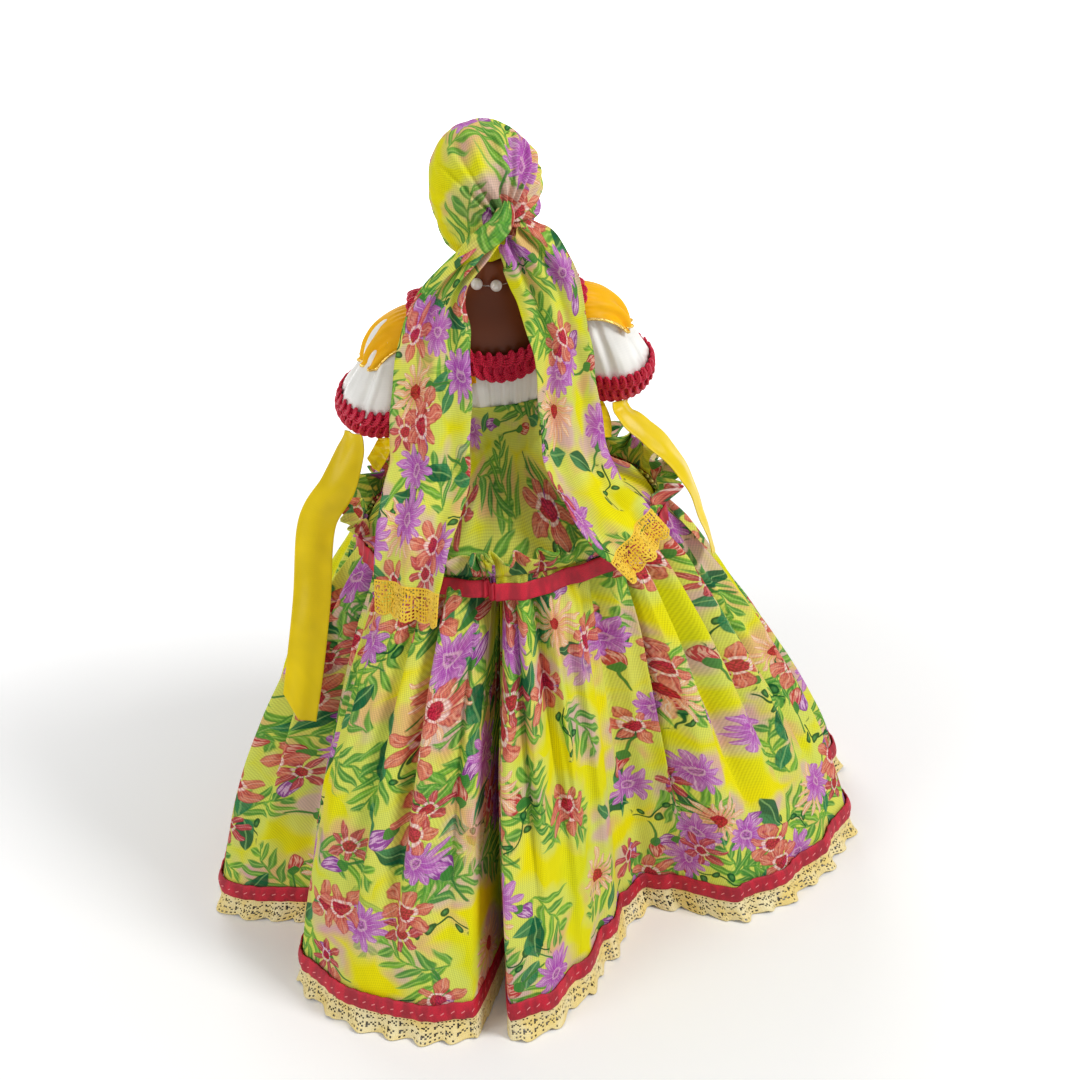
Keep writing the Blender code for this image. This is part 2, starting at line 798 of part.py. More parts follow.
def sleeve_radii(share, offset):
    """Close to the arm inside the bend and puffed on the outside, then wide at the mouth."""
    inner = deltoid_radius + cloth_gap
    grow = max(0.0, 2.0 * share - 1.0)
    near = between(inner, sleeve_mouth_radius, grow)
    swell = math.sin(math.pi * min(1.0, share * sleeve_puff_share)) ** sleeve_puff_power
    far = near + sleeve_puff * swell
    radii = []
    for i in range(TUBE_SIDES):
        away = 0.5 * (1.0 + math.cos(TURN * i / TUBE_SIDES))
        radii.append(between(near, far, away) + offset)
    return radii


def sleeve_ring(side, place, offset):
    """A ring of the sleeve at a place counted in sections, on the straight cloth between two."""
    frames = sleeve_frames(side)
    last = len(frames) - 1
    low = min(int(place), last - 1)
    rings = [ring_at(*frames[k], sleeve_radii(k / last, offset)) for k in (low, low + 1)]
    return [between(a, b, place - low) for a, b in zip(*rings)]


def make_sleeve(label, side, carrier):
    places = list(range(len(sleeve_frames(side))))
    rings = [sleeve_ring(side, p, satin) for p in places]
    rings += [sleeve_ring(side, p, 0.0) for p in reversed(places)]
    make_object(label + "_sleeve", loft(rings, hoop=True), white_satin(), carrier)


def make_cuff(label, side, carrier):
    """Gimp braid sewn round the sleeve's mouth."""
    inner = satin + layer_gap
    mouth = len(sleeve_frames(side)) - 1
    places = [mouth * cuff_share, *range(math.ceil(mouth * cuff_share), mouth + 1)]
    rings = [sleeve_ring(side, p, inner + gimp) for p in places]
    rings += [sleeve_ring(side, p, inner) for p in reversed(places)]
    make_object(label + "_cuff_braid", loft(rings, hoop=True), red_gimp(), carrier)


def patch(rows_outer, rows_inner):
    """Skins an open panel: each section goes along the outer side and back along the inner."""
    columns = len(rows_outer[0])
    sections = [list(outer) + list(reversed(inner))
                for outer, inner in zip(rows_outer, rows_inner)]
    return loft(sections, turned=lambda k, i: i >= columns, cap=cap_strip)


def make_flounce(label, side, carrier):
    """Satin flounce over the sleeve's head, widest on the shoulder and pointed below."""
    frames = sleeve_frames(side)
    last = len(frames) - 1
    inner = satin + flounce_gap
    rows_outer = []
    rows_inner = []
    for k in range(FLOUNCE_ROWS):
        centre, outward, back = frames[k]
        narrowing = flounce_drop_share * (k / (FLOUNCE_ROWS - 1)) ** flounce_drop_power
        spread = flounce_spread * (1.0 - narrowing)
        for rows, offset in ((rows_outer, inner + satin), (rows_inner, inner)):
            row = []
            for i in range(FLOUNCE_COLUMNS):
                turn = spread * (2 * i / (FLOUNCE_COLUMNS - 1) - 1.0)
                radius = radius_toward(k / last, turn, offset)
                row.append(centre + outward * radius * math.cos(turn)
                           + back * radius * math.sin(turn))
            rows.append(row)
    make_object(label + "_flounce", patch(rows_outer, rows_inner), orange_satin(), carrier)


def radius_toward(share, turn, offset):
    """The sleeve's radius toward any angle, from its sections' flat sides."""
    radii = sleeve_radii(share, offset)
    place = (turn % TURN) / TURN * TUBE_SIDES
    low = int(place) % TUBE_SIDES
    high = (low + 1) % TUBE_SIDES
    step = place - int(place)
    return between(radii[low], radii[high], step)


def make_leg(label, side, carrier):
    """Peg, thigh that turns about the hip, knee, calf and ankle in one skin."""
    inside = side * (pelvis_half_width + leg_gap)
    rings = []
    up = Vector((0.0, 0.0, 1.0))
    back = Vector((0.0, 1.0, 0.0))
    for reach, radius in ((leg_peg_length, leg_peg_radius), (0.0, leg_peg_radius)):
        rings.append(ring_at(Vector((inside - side * reach, 0.0, hip_axis_z)), up, back,
                             [radius] * TUBE_SIDES))
    bend = thigh_radius * thigh_bend_share
    for k in range(4):
        turn = QUARTER * k / 4
        outward = Vector((side * math.sin(turn), 0.0, math.cos(turn)))
        centre = Vector((inside + side * bend * math.sin(turn), 0.0,
                         hip_axis_z - bend * (1.0 - math.cos(turn))))
        radius = thigh_radius * between(hip_disc_share, 1.0, k / 3)
        rings.append(ring_at(centre, outward, back, [radius] * TUBE_SIDES))
    top_x = inside + side * bend
    ankle_x = top_x + side * leg_spread
    low_z = hip_axis_z - bend
    for share, radius_share in leg_shares:
        z = between(ankle_z, low_z, share)
        x = between(ankle_x, top_x, share)
        rings.append(ring_at(Vector((x, 0.0, z)), Vector((float(side), 0.0, 0.0)), back,
                             [radius_share * thigh_radius] * TUBE_SIDES))
    make_object(label + "_leg", loft(rings), vinyl(), carrier)
    return ankle_x


def make_shoe(label, side, ankle_x, carrier):
    """A flat slip-on shoe under the ankle."""
    rings = []
    forward = shoe_length * (1.0 - shoe_heel_share)
    behind = shoe_length * shoe_heel_share
    for height, front_share, heel_share, width_share in shoe_shares:
        ring = []
        for i in range(TUBE_SIDES):
            turn = TURN * i / TUBE_SIDES
            reach = behind * heel_share if math.sin(turn) > 0.0 else forward * front_share
            ring.append(Vector((ankle_x + shoe_half_width * width_share * math.cos(turn),
                                reach * math.sin(turn), shoe_height * height)))
        rings.append(ring)
    make_object(label + "_shoe", loft(rings), shoe_plastic(), carrier)


def worn_ring(form, angles, heights, offset, height):
    return [lifted(form, a, z, offset, height) for a, z in zip(angles, heights)]


def garment(form, angles, foot, top, rows, inner, thickness, height):
    """A closed tube of cloth on a form, between two edges that may rise and fall round it."""
    rings = []
    for offset, order in ((inner + thickness, range(rows + 1)), (inner, range(rows, -1, -1))):
        for k in order:
            heights = [between(top(a), foot(a), k / rows) for a in angles]
            rings.append(worn_ring(form, angles, heights, offset, height))
    return loft(rings, hoop=True)


def make_blouse(carrier):
    """The white band of the blouse, tucked into the bodice below and under the braid above."""
    angles = even_angles(BODY_SIDES)
    bm = garment(torso_point, angles, lambda a: blouse_foot_z,
                 lambda a: blouse_top_z + blouse_side_rise * math.cos(a) ** 4,
                 5, cloth_gap, satin, torso_height)
    make_object("blouse", bm, white_satin(), carrier)


def braid_edge(angle, share):
    """A place across the braid's inner side, from its lower and outer edge to the neck's side."""
    on_body = lifted(torso_point, angle, braid_foot_z + share * braid_width,
                     cloth_gap + satin + braid_gap, torso_height)
    on_shoulder = oval(angle, braid_reach - share * braid_side_width, braid_side_depth,
                       braid_squareness)
    on_shoulder += Vector((0.0, arm_axis_y, braid_side_z + share * braid_side_rise))
    return between(on_body, on_shoulder, abs(math.cos(angle)) ** braid_rise_power)


def braid_point(angle, share, height):
    """A point at a height above the braid's inner side, square to it."""
    along = braid_edge(angle + probe_turn, share) - braid_edge(angle - probe_turn, share)
    across = braid_edge(angle, 1.0) - braid_edge(angle, 0.0)
    return braid_edge(angle, share) + along.cross(across).normalized() * height


def make_neckline(carrier):
    """Gimp braid round the wide neckline: low at back and front, over both shoulders."""
    angles = even_angles(BODY_SIDES)
    rings = []
    for height, order in ((gimp, range(BRAID_ROWS, -1, -1)), (0.0, range(BRAID_ROWS + 1))):
        for k in order:
            rings.append([braid_point(a, k / BRAID_ROWS, height) for a in angles])
    make_object("neckline_braid", loft(rings, hoop=True), red_gimp(), carrier)


def make_collar(label, side, carrier):
    """Half of the satin collar that hangs below the braid, from the back opening to the arm."""
    rows_outer = []
    rows_inner = []
    steps = 7
    drop = 5
    inner = cloth_gap + satin + layer_gap
    for k in range(steps):
        away = between(collar_split, collar_end, k / (steps - 1))
        angle = QUARTER - side * away
        top = min(braid_edge(angle, 0.0).z, blouse_top_z) - layer_gap
        reach = (k / (steps - 1)) ** collar_point_power
        foot = top - collar_depth * between(collar_point_share, 1.0, reach)
        for rows, offset in ((rows_outer, inner + satin), (rows_inner, inner)):
            rows.append([lifted(torso_point, angle, between(top, foot, i / (drop - 1)), offset,
                                torso_height) for i in range(drop)])
    make_object(label + "_collar", patch(rows_outer, rows_inner), orange_satin(), carrier)


def bodice_point(angle, z):
    """The dress from bust to hip seam: on the body down to the waist, then flaring out."""
    if z >= waist_z:
        return lifted(torso_point, angle, z, cloth_gap + satin + layer_gap, torso_height)
    waist = lifted(torso_point, angle, waist_z, cloth_gap + satin + layer_gap, torso_height)
    seam = oval(angle, seam_half_width, seam_half_depth)
    share = max(0.0, (z - seam_z) / (waist_z - seam_z))
    spread = flare_spread(share)
    return Vector((between(waist.x, seam.x, spread), between(waist.y, seam.y, spread), z))


def flare_spread(share):
    low = flare_shares[-1]
    for row in reversed(flare_shares):
        if row[0] >= share:
            step = (share - low[0]) / (row[0] - low[0]) if row[0] > low[0] else 0.0
            return between(low[1], row[1], step)
        low = row
    return between(0.0, low[1], (1.0 - share) / (1.0 - low[0]))


def make_bodice(carrier):
    """The print bodice with its flared hip part, ending in the short upright seam edge."""
    angles = even_angles(BODY_SIDES + 4)
    heights = [bodice_top_z, between(bodice_top_z, waist_z, 0.5), waist_z]
    heights += [between(seam_z, waist_z, row[0]) for row in flare_shares]
    heights.append(seam_z - seam_depth)
    outer = []
    inner = []
    for z in heights:
        outer.append([lifted(bodice_point, a, z, cotton, torso_height) for a in angles])
        inner.append([bodice_point(a, z) for a in angles])
    for ring in (outer[-2], outer[-1]):
        for point, angle in zip(ring, angles):
            edge = oval(angle, seam_half_width + cotton, seam_half_depth + cotton)
            point.x = edge.x
            point.y = edge.y
    for rings, z in ((outer, seam_z), (outer, seam_z - seam_depth), (inner, seam_z),
                     (inner, seam_z - seam_depth)):
        index = -2 if z == seam_z else -1
        for point in rings[index]:
            point.z = z
    make_object("bodice", loft(outer + list(reversed(inner)), hoop=True), print_cotton(), carrier)


def fold_angles():
    """Angles round the skirt: each ridge and valley exactly, and points between them."""
    table = fold_table_shares
    angles = []
    for i, (start, _) in enumerate(table):
        end = table[(i + 1) % len(table)][0] + (360 if i + 1 == len(table) else 0)
        parts = max(1, round((end - start) / fold_step))
        angles += [math.radians(between(start, end, k / parts)) for k in range(parts)]
    return angles


def hem_share(angle):
    """The hem's reach at an angle, easing between the ridges and valleys of the table."""
    table = fold_table_shares
    degrees = math.degrees(angle)
    for i, (start, low) in enumerate(table):
        wraps = i + 1 == len(table)
        end = table[(i + 1) % len(table)][0] + (360 if wraps else 0)
        high = table[(i + 1) % len(table)][1]
        place = degrees + 360 if wraps and degrees < start else degrees
        if start <= place <= end:
            ease = 0.5 - 0.5 * math.cos(math.pi * (place - start) / (end - start))
            return between(low, high, ease)
    return table[0][1]


def seam_reach(angle):
    """How far the hip seam's oval lies from the middle at an angle."""
    width = seam_half_width + cotton + seat_gap
    depth = seam_half_depth + cotton + seat_gap
    return 1.0 / math.sqrt((math.cos(angle) / width) ** 2 + (math.sin(angle) / depth) ** 2)


def gather(index, share):
    """The small gathers at the seam, which fade down the skirt."""
    return gather_height * (0.5 - 0.5 * math.cos(QUARTER * index)) * (1.0 - share) ** 2


def skirt_reach(angle, index, z):
    """The skirt's inner side at a height: the seam's oval above and the folded hem below."""
    share = max((seam_z - z) / (seam_z - cloth_foot_z), 0.0)
    spread = 1.0 - max(1.0 - share, 0.0) ** skirt_curve
    reach = between(seam_reach(angle), hem_share(angle) * hem_radius, spread)
    return reach + gather(index, min(share, 1.0))


def hoop_ring(reach, z, offset):
    angles = fold_angles()
    ring = []
    for index, angle in enumerate(angles):
        radius = reach(angle, index, z) + offset
        ring.append(Vector((radius * math.cos(angle), radius * math.sin(angle), z)))
    return ring


def hoop(reach, heights, inner, thickness):
    rings = [hoop_ring(reach, z, inner + thickness) for z in heights]
    rings += [hoop_ring(reach, z, inner) for z in reversed(heights)]
    return loft(rings, hoop=True)


def make_skirt(carrier):
    """The gathered skirt with its deep back pleat, from the hip seam to the hem."""
    heights = [seam_z, seam_z - band_height]
    heights += [between(seam_z, cloth_foot_z, s) for s in skirt_steps_shares]
    heights += [ribbon_top_z, cloth_foot_z]
    make_object("skirt", hoop(skirt_reach, heights, 0.0, cotton), print_cotton(), carrier)


def make_frill(carrier):
    """The ruffled heading that stands up above the band."""

    def frill_reach(angle, index, z):
        share = (z - seam_z) / frill_height
        drift = frill_drift_share * math.sin(FRILL_DRIFTS * angle)
        wave = 0.5 - 0.5 * math.cos(QUARTER * index + drift)
        return skirt_reach(angle, index, seam_z) + share * (frill_spread + frill_wave * wave)

    foot = seam_z + seat_gap
    heights = [seam_z + frill_height, foot]
    make_object("skirt_frill", hoop(frill_reach, heights, 0.0, cotton), print_cotton(), carrier)


def make_band(carrier):
    """Velvet ribbon that covers the gathered seam."""

    def band_reach(angle, index, z):
        return seam_reach(angle) + gather_height + max(0.0, seam_z - z) * band_slope(angle)

    heights = [seam_z, seam_z - band_height]
    make_object("skirt_band", hoop(band_reach, heights, cotton + layer_gap, velvet), red_velvet(),
                carrier)


def band_slope(angle):
    """How steeply the skirt leaves the seam under the band, with a little to spare."""
    low = skirt_reach(angle, 0, seam_z - band_height) - seam_reach(angle)
    return max(low, 0.0) / band_height


def make_hem_ribbon(carrier):
    heights = [ribbon_top_z, cloth_foot_z]
    make_object("hem_ribbon", hoop(skirt_reach, heights, cotton + layer_gap, velvet),
                red_velvet(), carrier)


def make_hem_lace(carrier):
    heights = [hem_lace_top_z, lace_foot_z]
    make_object("hem_lace", hoop(skirt_reach, heights, 0.0, lace), yellow_lace(), carrier)


def strip(route, half_width, thickness, fold, folds):
    """A hanging strip of cloth along a route. Each stop gives its place, width and turn."""
    centres = smooth_route([stop[0] for stop in route], 2)
    widths = smooth_numbers([stop[1] for stop in route], 2)
    turns = smooth_numbers([stop[2] for stop in route], 2)
    course = directions(centres)
    rows_outer = []
    rows_inner = []
    for centre, direction, width, turn in zip(centres, course, widths, turns):
        outward = Vector((math.sin(turn), math.cos(turn), 0.0))
        across = direction.cross(outward).normalized()
        outward = across.cross(direction).normalized()
        outer = []
        inner = []
        for i in range(STRIP_POINTS):
            place = 2 * i / (STRIP_POINTS - 1) - 1.0
            wave = fold * math.cos(math.pi * folds * place)
            wave *= 1.0 - tail_edge_share * place * place
            middle = centre + across * place * half_width * width + outward * wave
            outer.append(middle + outward * thickness / 2)
            inner.append(middle - outward * thickness / 2)
        rows_outer.append(outer)
        rows_inner.append(inner)
    return rows_outer, rows_inner


def smooth_numbers(values, steps):
    route = smooth_route([Vector((v, 0.0, 0.0)) for v in values], steps)
    return [point.x for point in route]


def make_tail(label, side, rows, carrier):
    """A scarf tail with its main folds, and the lace sewn to its end."""
    top_z = knot_z - knot_half_size[2] - seat_gap
    route = [(Vector((side * across * seam_half_width, back * seam_half_depth,
                      between(seam_z, top_z, up))), width, side * turn)
             for across, back, up, width, turn in rows]
    rows_outer, rows_inner = strip(route, tail_half_width, cotton, tail_fold, 2)
    make_object("scarf_tail_" + label, patch(rows_outer, rows_inner), print_cotton(), carrier)
    end_outer = rows_outer[-1]
    end_inner = rows_inner[-1]
    down = (end_outer[STRIP_POINTS // 2] - rows_outer[-2][STRIP_POINTS // 2]).normalized()
    lace_outer = []
    lace_inner = []
    for share in (0.0, 0.5, 1.0):
        shift = down * (seat_gap + tail_lace_depth * share)
        lace_outer.append([point + shift for point in end_outer])
        lace_inner.append([point + shift for point in end_inner])
    make_object("scarf_lace_" + label, patch(lace_outer, lace_inner), yellow_lace(), carrier)


def cuff_rim(side, turn):
    """The middle of the cuff's lower edge, counted round from the outer side to the back."""
    centre, outward, back = sleeve_frames(side)[-1]
    radius = radius_toward(1.0, turn, satin + layer_gap + gimp / 2)
    return centre + outward * radius * math.cos(turn) + back * radius * math.sin(turn)


def make_ribbon(name, side, start_turn, rows, curl, carrier):
    """A satin ribbon that hangs from the cuff's rim."""
    rim = cuff_rim(side, start_turn)
    route = [(rim + Vector((side * out * hem_radius, back * hem_radius, -down * rim.z)),
              width, side * turn) for out, back, down, width, turn in rows]
    made = strip(route, ribbon_half_width, satin, curl, 1)
    make_object(name, patch(*made), yellow_ribbon(), carrier)


def make_necklace(carrier):
    """Pearls on a thread round the foot of the neck, as one string that swells at each pearl."""
    sections = []
    pitch = TURN / PEARL_COUNT
    seat_z = necklace_z - pearl_seat_share * pearl_radius
    reach = (torso_point(0.0, seat_z).x + torso_point(QUARTER, seat_z).y) / 2
    half = pearl_radius / (reach + pearl_radius)
    for n in range(PEARL_COUNT):
        for share in pearl_section_shares:
            angle = pitch * (n + 0.5) + half * share
            radius = max(thread_radius, pearl_radius * math.sqrt(max(0.0, 1.0 - share * share)))
            out = Vector((math.cos(angle), math.sin(angle), 0.0))
            centre = torso_point(angle, seat_z) + out * (pearl_radius + seat_gap)
            centre.z = necklace_z
            sections.append(ring_at(centre, out, Vector((0.0, 0.0, 1.0)),
                                    [radius] * THREAD_SIDES))
    make_object("necklace", loft(sections, hoop=True), pearl(), carrier)


def main():
    for existing in list(bpy.data.objects):
        bpy.data.objects.remove(existing)
    doll = pivot("doll", Vector((0.0, 0.0, 0.0)))
    make_torso(doll)
    make_necklace(doll)
    make_blouse(doll)
    make_neckline(doll)
    make_bodice(doll)
    make_skirt(doll)
    make_frill(doll)
    make_band(doll)
    make_hem_ribbon(doll)
    make_hem_lace(doll)
    make_tail("left", 1, left_tail_shares, doll)
    make_tail("right", -1, right_tail_shares, doll)
    neck = pivot("neck_pivot", Vector((0.0, neck_y, head_foot_z)))
    make_head(neck)
    make_wrap(neck)
    make_knot(neck)
    for label, side, long_turn, long_rows, tie_turn, tie_rows in (
            ("left", 1, left_ribbon_turn, left_ribbon_shares, left_tie_turn, left_tie_shares),
            ("right", -1, right_ribbon_turn, right_ribbon_shares, right_tie_turn,
             right_tie_shares)):
        make_collar(label, side, doll)
        shoulder = pivot(label + "_shoulder_pivot", Vector(
            (side * (shoulder_half_width + arm_gap), arm_axis_y, arm_axis_z)))
        make_arm(label, side, shoulder)
        make_sleeve(label, side, shoulder)
        make_cuff(label, side, shoulder)
        make_flounce(label, side, shoulder)
        make_ribbon(label + "_ribbon", side, long_turn, long_rows, ribbon_curl, shoulder)
        make_ribbon(label + "_ribbon_tie", side, tie_turn, tie_rows, ribbon_curl / 2, shoulder)
        hip = pivot(label + "_hip_pivot", Vector(
            (side * (pelvis_half_width + leg_gap), 0.0, hip_axis_z)))
        ankle_x = make_leg(label, side, hip)
        make_shoe(label, side, ankle_x, hip)


main()
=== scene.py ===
# %% [markdown]
# # A folk doll in a flower print dress
# This lesson dresses a moulded doll. The rigid doll and plain solids for every garment are already
# there, in metres, standing on the floor and facing -Y. We load them first. Then we cut each
# garment as real cloth is cut, give it folds, and print, weave and trim it.

# %% Load the doll
from math import acos, atan2, copysign, cos, degrees, exp, hypot, pi, radians, sin

import bmesh
import bpy
from mathutils import Matrix, Vector, noise


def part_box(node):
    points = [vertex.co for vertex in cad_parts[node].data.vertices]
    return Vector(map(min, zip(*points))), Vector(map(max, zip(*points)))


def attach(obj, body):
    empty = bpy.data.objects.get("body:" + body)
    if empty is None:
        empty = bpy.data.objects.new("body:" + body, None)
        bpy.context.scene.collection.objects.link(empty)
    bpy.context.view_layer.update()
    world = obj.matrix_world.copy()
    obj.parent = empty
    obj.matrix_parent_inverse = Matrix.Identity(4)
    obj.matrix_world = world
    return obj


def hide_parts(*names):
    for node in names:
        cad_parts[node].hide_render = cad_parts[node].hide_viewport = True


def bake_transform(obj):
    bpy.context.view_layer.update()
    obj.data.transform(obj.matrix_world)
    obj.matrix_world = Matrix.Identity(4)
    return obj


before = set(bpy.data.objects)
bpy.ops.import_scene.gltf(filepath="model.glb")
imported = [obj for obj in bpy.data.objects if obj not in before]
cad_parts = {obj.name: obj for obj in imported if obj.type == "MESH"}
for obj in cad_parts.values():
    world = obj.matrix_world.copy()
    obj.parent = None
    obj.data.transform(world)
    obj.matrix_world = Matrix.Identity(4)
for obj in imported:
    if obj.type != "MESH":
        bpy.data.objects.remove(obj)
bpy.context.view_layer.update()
SIDES = ((1, "left"), (-1, "right"))
TURN = 2 * pi
print("pieces on the stand:", len(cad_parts))

# %% [markdown]
# Cloth is never quite regular. Instead of random numbers we read a smooth noise, which gives the
# same wrinkles each time. Two small helpers fade and blend values.

# %% Small helpers


def mix(low, high, share):
    return low + (high - low) * share


def clamp(value, low=0.0, high=1.0):
    return min(max(value, low), high)


def smooth(low, high, value):
    """Rises gently from 0 to 1 while value goes from low to high."""
    share = clamp((value - low) / (high - low))
    return share * share * (3.0 - 2.0 * share)


def ripple(x, y=0.0, z=0.0):
    """Smooth noise between about -1 and 1."""
    return noise.noise(Vector((x, y, z)))


def table_at(rows, x):
    """Reads a table of (x, a, b, ...) rows, straight between its rows."""
    x = clamp(x, rows[0][0], rows[-1][0])
    for low, high in zip(rows, rows[1:]):
        if x <= high[0]:
            share = (x - low[0]) / (high[0] - low[0])
            return [mix(a, b, share) for a, b in zip(low[1:], high[1:])]
    return list(rows[-1][1:])


# %% [markdown]
# ## Materials out of nodes
# A material here is a small network of sums. Writing node code in full is slow to read. Here every
# output of a node is a `Value` that takes part in formulas: `x * 2.0 + y` adds two Math nodes and
# links them. `Net` adds the other nodes, one a line, sets plain numbers and links the rest.

# %% A short way to write nodes


def operator(kind):
    """The pair of methods for one operator, with the value on its left and on its right."""
    return (lambda a, b: a.net.math(kind, a, b)), (lambda a, b: a.net.math(kind, b, a))


class Value:
    """An output of a node, to be used in a formula."""

    def __init__(self, net, socket):
        self.net, self.socket = net, socket

    def __abs__(self):
        return self.net.math("ABSOLUTE", self)

    __add__, __radd__ = operator("ADD")
    __sub__, __rsub__ = operator("SUBTRACT")
    __mul__, __rmul__ = operator("MULTIPLY")
    __truediv__, __rtruediv__ = operator("DIVIDE")
    __pow__, __rpow__ = operator("POWER")


class Net:
    """Adds nodes to a tree."""

    def __init__(self, tree):
        self.tree = tree

    def link(self, value, socket):
        self.tree.links.new(value.socket, socket)

    def add(self, kind, inputs=(), **settings):
        """A new node with its settings, its plain inputs and its links; gives its outputs."""
        made = self.tree.nodes.new(kind)
        for key, value in settings.items():
            setattr(made, key, value)
        for key, value in dict(inputs).items():
            if isinstance(value, Value):
                self.link(value, made.inputs[key])
            else:
                made.inputs[key].default_value = value
        return self.values(made.outputs)

    def values(self, outputs):
        """Outputs as Values, by place and by name."""
        found = {place: Value(self, socket) for place, socket in enumerate(outputs)}
        return {**found, **{socket.name: found[place] for place, socket in enumerate(outputs)}}

    def node(self, kind, inputs=(), out=0, **settings):
        return self.add(kind, inputs, **settings)[out]

    def math(self, operation, a, b=0.0, c=0.0):
        return self.node("ShaderNodeMath", {0: a, 1: b, 2: c}, operation=operation)

    def sin(self, a):
        return self.math("SINE", a)

    def min(self, a, b):
        return self.math("MINIMUM", a, b)

    def max(self, a, b):
        return self.math("MAXIMUM", a, b)

    def away(self, x, y):
        """The distance of x, y from 0, 0."""
        return self.math("SQRT", x * x + y * y)

    def vector(self, operation, a, b=(0.0, 0.0, 0.0), out=0):
        return self.node("ShaderNodeVectorMath", {0: a, 1: b}, out, operation=operation)

    def scaled(self, vector, size):
        return self.node("ShaderNodeVectorMath", {0: vector, "Scale": size}, operation="SCALE")

    def turned(self, vector, angle):
        return self.node("ShaderNodeVectorRotate", {"Vector": vector, "Angle": angle},
                         rotation_type="Z_AXIS")

    def step(self, value, low, high, start=0.0, end=1.0):
        """A soft step from start to end while value goes from low to high."""
        return self.node("ShaderNodeMapRange", {"Value": value, "From Min": low, "From Max": high,
                                                "To Min": start, "To Max": end},
                         interpolation_type="SMOOTHSTEP")

    def fade(self, value, low, high, start=1.0):
        """A soft step from start down to 0."""
        return self.step(value, low, high, start, 0.0)

    def blend(self, share, a, b, kind="MIX"):
        a, b = ((*tone, 1.0) if isinstance(tone, tuple) else tone for tone in (a, b))
        return self.node("ShaderNodeMix", {0: share, 6: a, 7: b}, 2, data_type="RGBA",
                         blend_type=kind)

    def parts(self, vector):
        found = self.add("ShaderNodeSeparateXYZ", {0: vector})
        return found[0], found[1], found[2]

    def join(self, x=0.0, y=0.0, z=0.0):
        return self.node("ShaderNodeCombineXYZ", {0: x, 1: y, 2: z})

    def noise(self, vector, scale, detail=2.0, out=0):
        return self.node("ShaderNodeTexNoise", {"Vector": vector, "Scale": scale,
                                                "Detail": detail}, out)

    def whim(self, number):
        """A random value from 0 to 1 that belongs to a number."""
        return self.node("ShaderNodeTexWhiteNoise", {"W": number}, noise_dimensions="1D")


def colour(red, green, blue):
    """A screen colour from 0 to 255 as the linear colour that shading uses."""
    def linear(value):
        value /= 255
        return value / 12.92 if value <= 0.04045 else ((value + 0.055) / 1.055) ** 2.4
    return tuple(linear(v) for v in (red, green, blue))


WHITE = (1.0, 1.0, 1.0)
HALF = (0.5, 0.5, 0.5)
FLAT = (1.0, 1.0, 0.0)


def new_material(name, slot, roughness, **plain):
    """A material with its plain values on the shader, and a Net to draw the rest. Its slot is not
    used.
    """
    made = bpy.data.materials.new(name)
    made.use_nodes = True
    shader = made.node_tree.nodes["Principled BSDF"]
    shader.inputs["Roughness"].default_value = roughness
    for key, value in plain.items():
        shader.inputs[key.replace("_", " ")].default_value = value
    return made, shader, Net(made.node_tree)


def finish_material(net, shader, base, height=None, strength=0.5, distance=0.0003):
    """Links the drawn colour, and a height in metres as bumps in the surface."""
    net.link(base, shader.inputs["Base Color"])
    if height is not None:
        bump = net.node("ShaderNodeBump", {"Height": height, "Strength": strength,
                                           "Distance": distance})
        net.link(bump, shader.inputs["Normal"])


# %% [markdown]
# ## A flower print, drawn with sums
# The cotton is printed with flowers, buds, leaves and berries. A picture file would be the usual
# way. Drawing it with nodes keeps it sharp at any size and needs no file. The trick has two
# halves: one group scatters places over the cloth, each with its own turn, and one group for each
# motif draws it round such a place, in millimetres.

# %% Scatter places over the cloth


KINDS = {"Cloth": "Vector", "Local": "Vector", "Random": "Vector", "Paint": "Color"}


def new_group(name, inputs, outputs):
    "An empty node group. Gives it, its Net, what it is given, and how it gives something back."
    group = bpy.data.node_groups.new(name, "ShaderNodeTree")
    for labels, way in ((inputs, "INPUT"), (outputs, "OUTPUT")):
        for label in labels.split():
            group.interface.new_socket(label, in_out=way,
                                       socket_type="NodeSocket" + KINDS.get(label, "Float"))
    n = Net(group)
    given = n.values(group.nodes.new("NodeGroupInput").outputs)
    end = group.nodes.new("NodeGroupOutput")
    return group, n, given, lambda key, value: n.link(value, end.inputs[key])


def scatter_group():
    """Cuts the cloth into turned squares and gives a jittered, turned place in each."""
    group, n, given, give = new_group("Scatter", "Cloth Size Turn Seed Jitter Spin",
                                      "Local Random Bunch")
    size, seed = given["Size"], given["Seed"]
    cells = n.scaled(n.turned(given["Cloth"], given["Turn"]), 1000.0 / size)
    shifted = n.join(seed, seed * 1.7)
    cells = n.vector("ADD", cells, shifted)
    corner = n.vector("FLOOR", cells)
    flat = n.vector("MULTIPLY", corner, FLAT)
    middle = n.vector("SUBTRACT", n.vector("ADD", flat, (0.5, 0.5, 0.0)), shifted)
    middle = n.turned(n.scaled(middle, size / 1000.0), given["Turn"] * -1.0)
    give("Bunch", n.noise(n.vector("ADD", middle, (3.3, 1.7, 0.0)), 22.0, 0.0))
    random = n.node("ShaderNodeTexWhiteNoise", {"Vector": flat}, 1, noise_dimensions="3D")
    inside = n.vector("SUBTRACT", n.vector("SUBTRACT", cells, corner), (0.5, 0.5, 0.0))
    shift = n.scaled(n.vector("SUBTRACT", random, HALF), given["Jitter"])
    inside = n.vector("MULTIPLY", n.vector("SUBTRACT", inside, shift), FLAT)
    give("Local", n.scaled(n.turned(inside, n.parts(random)[2] * given["Spin"]), size))
    give("Random", random)
    return group


scatter = scatter_group()
print("scatter nodes:", len(scatter.nodes))

# %% [markdown]
# A round flower is easiest in polar form. The angle is cut into petals, and inside each petal the
# distance from its middle line is compared with a width that swells and closes along the petal.

# %% Round flowers


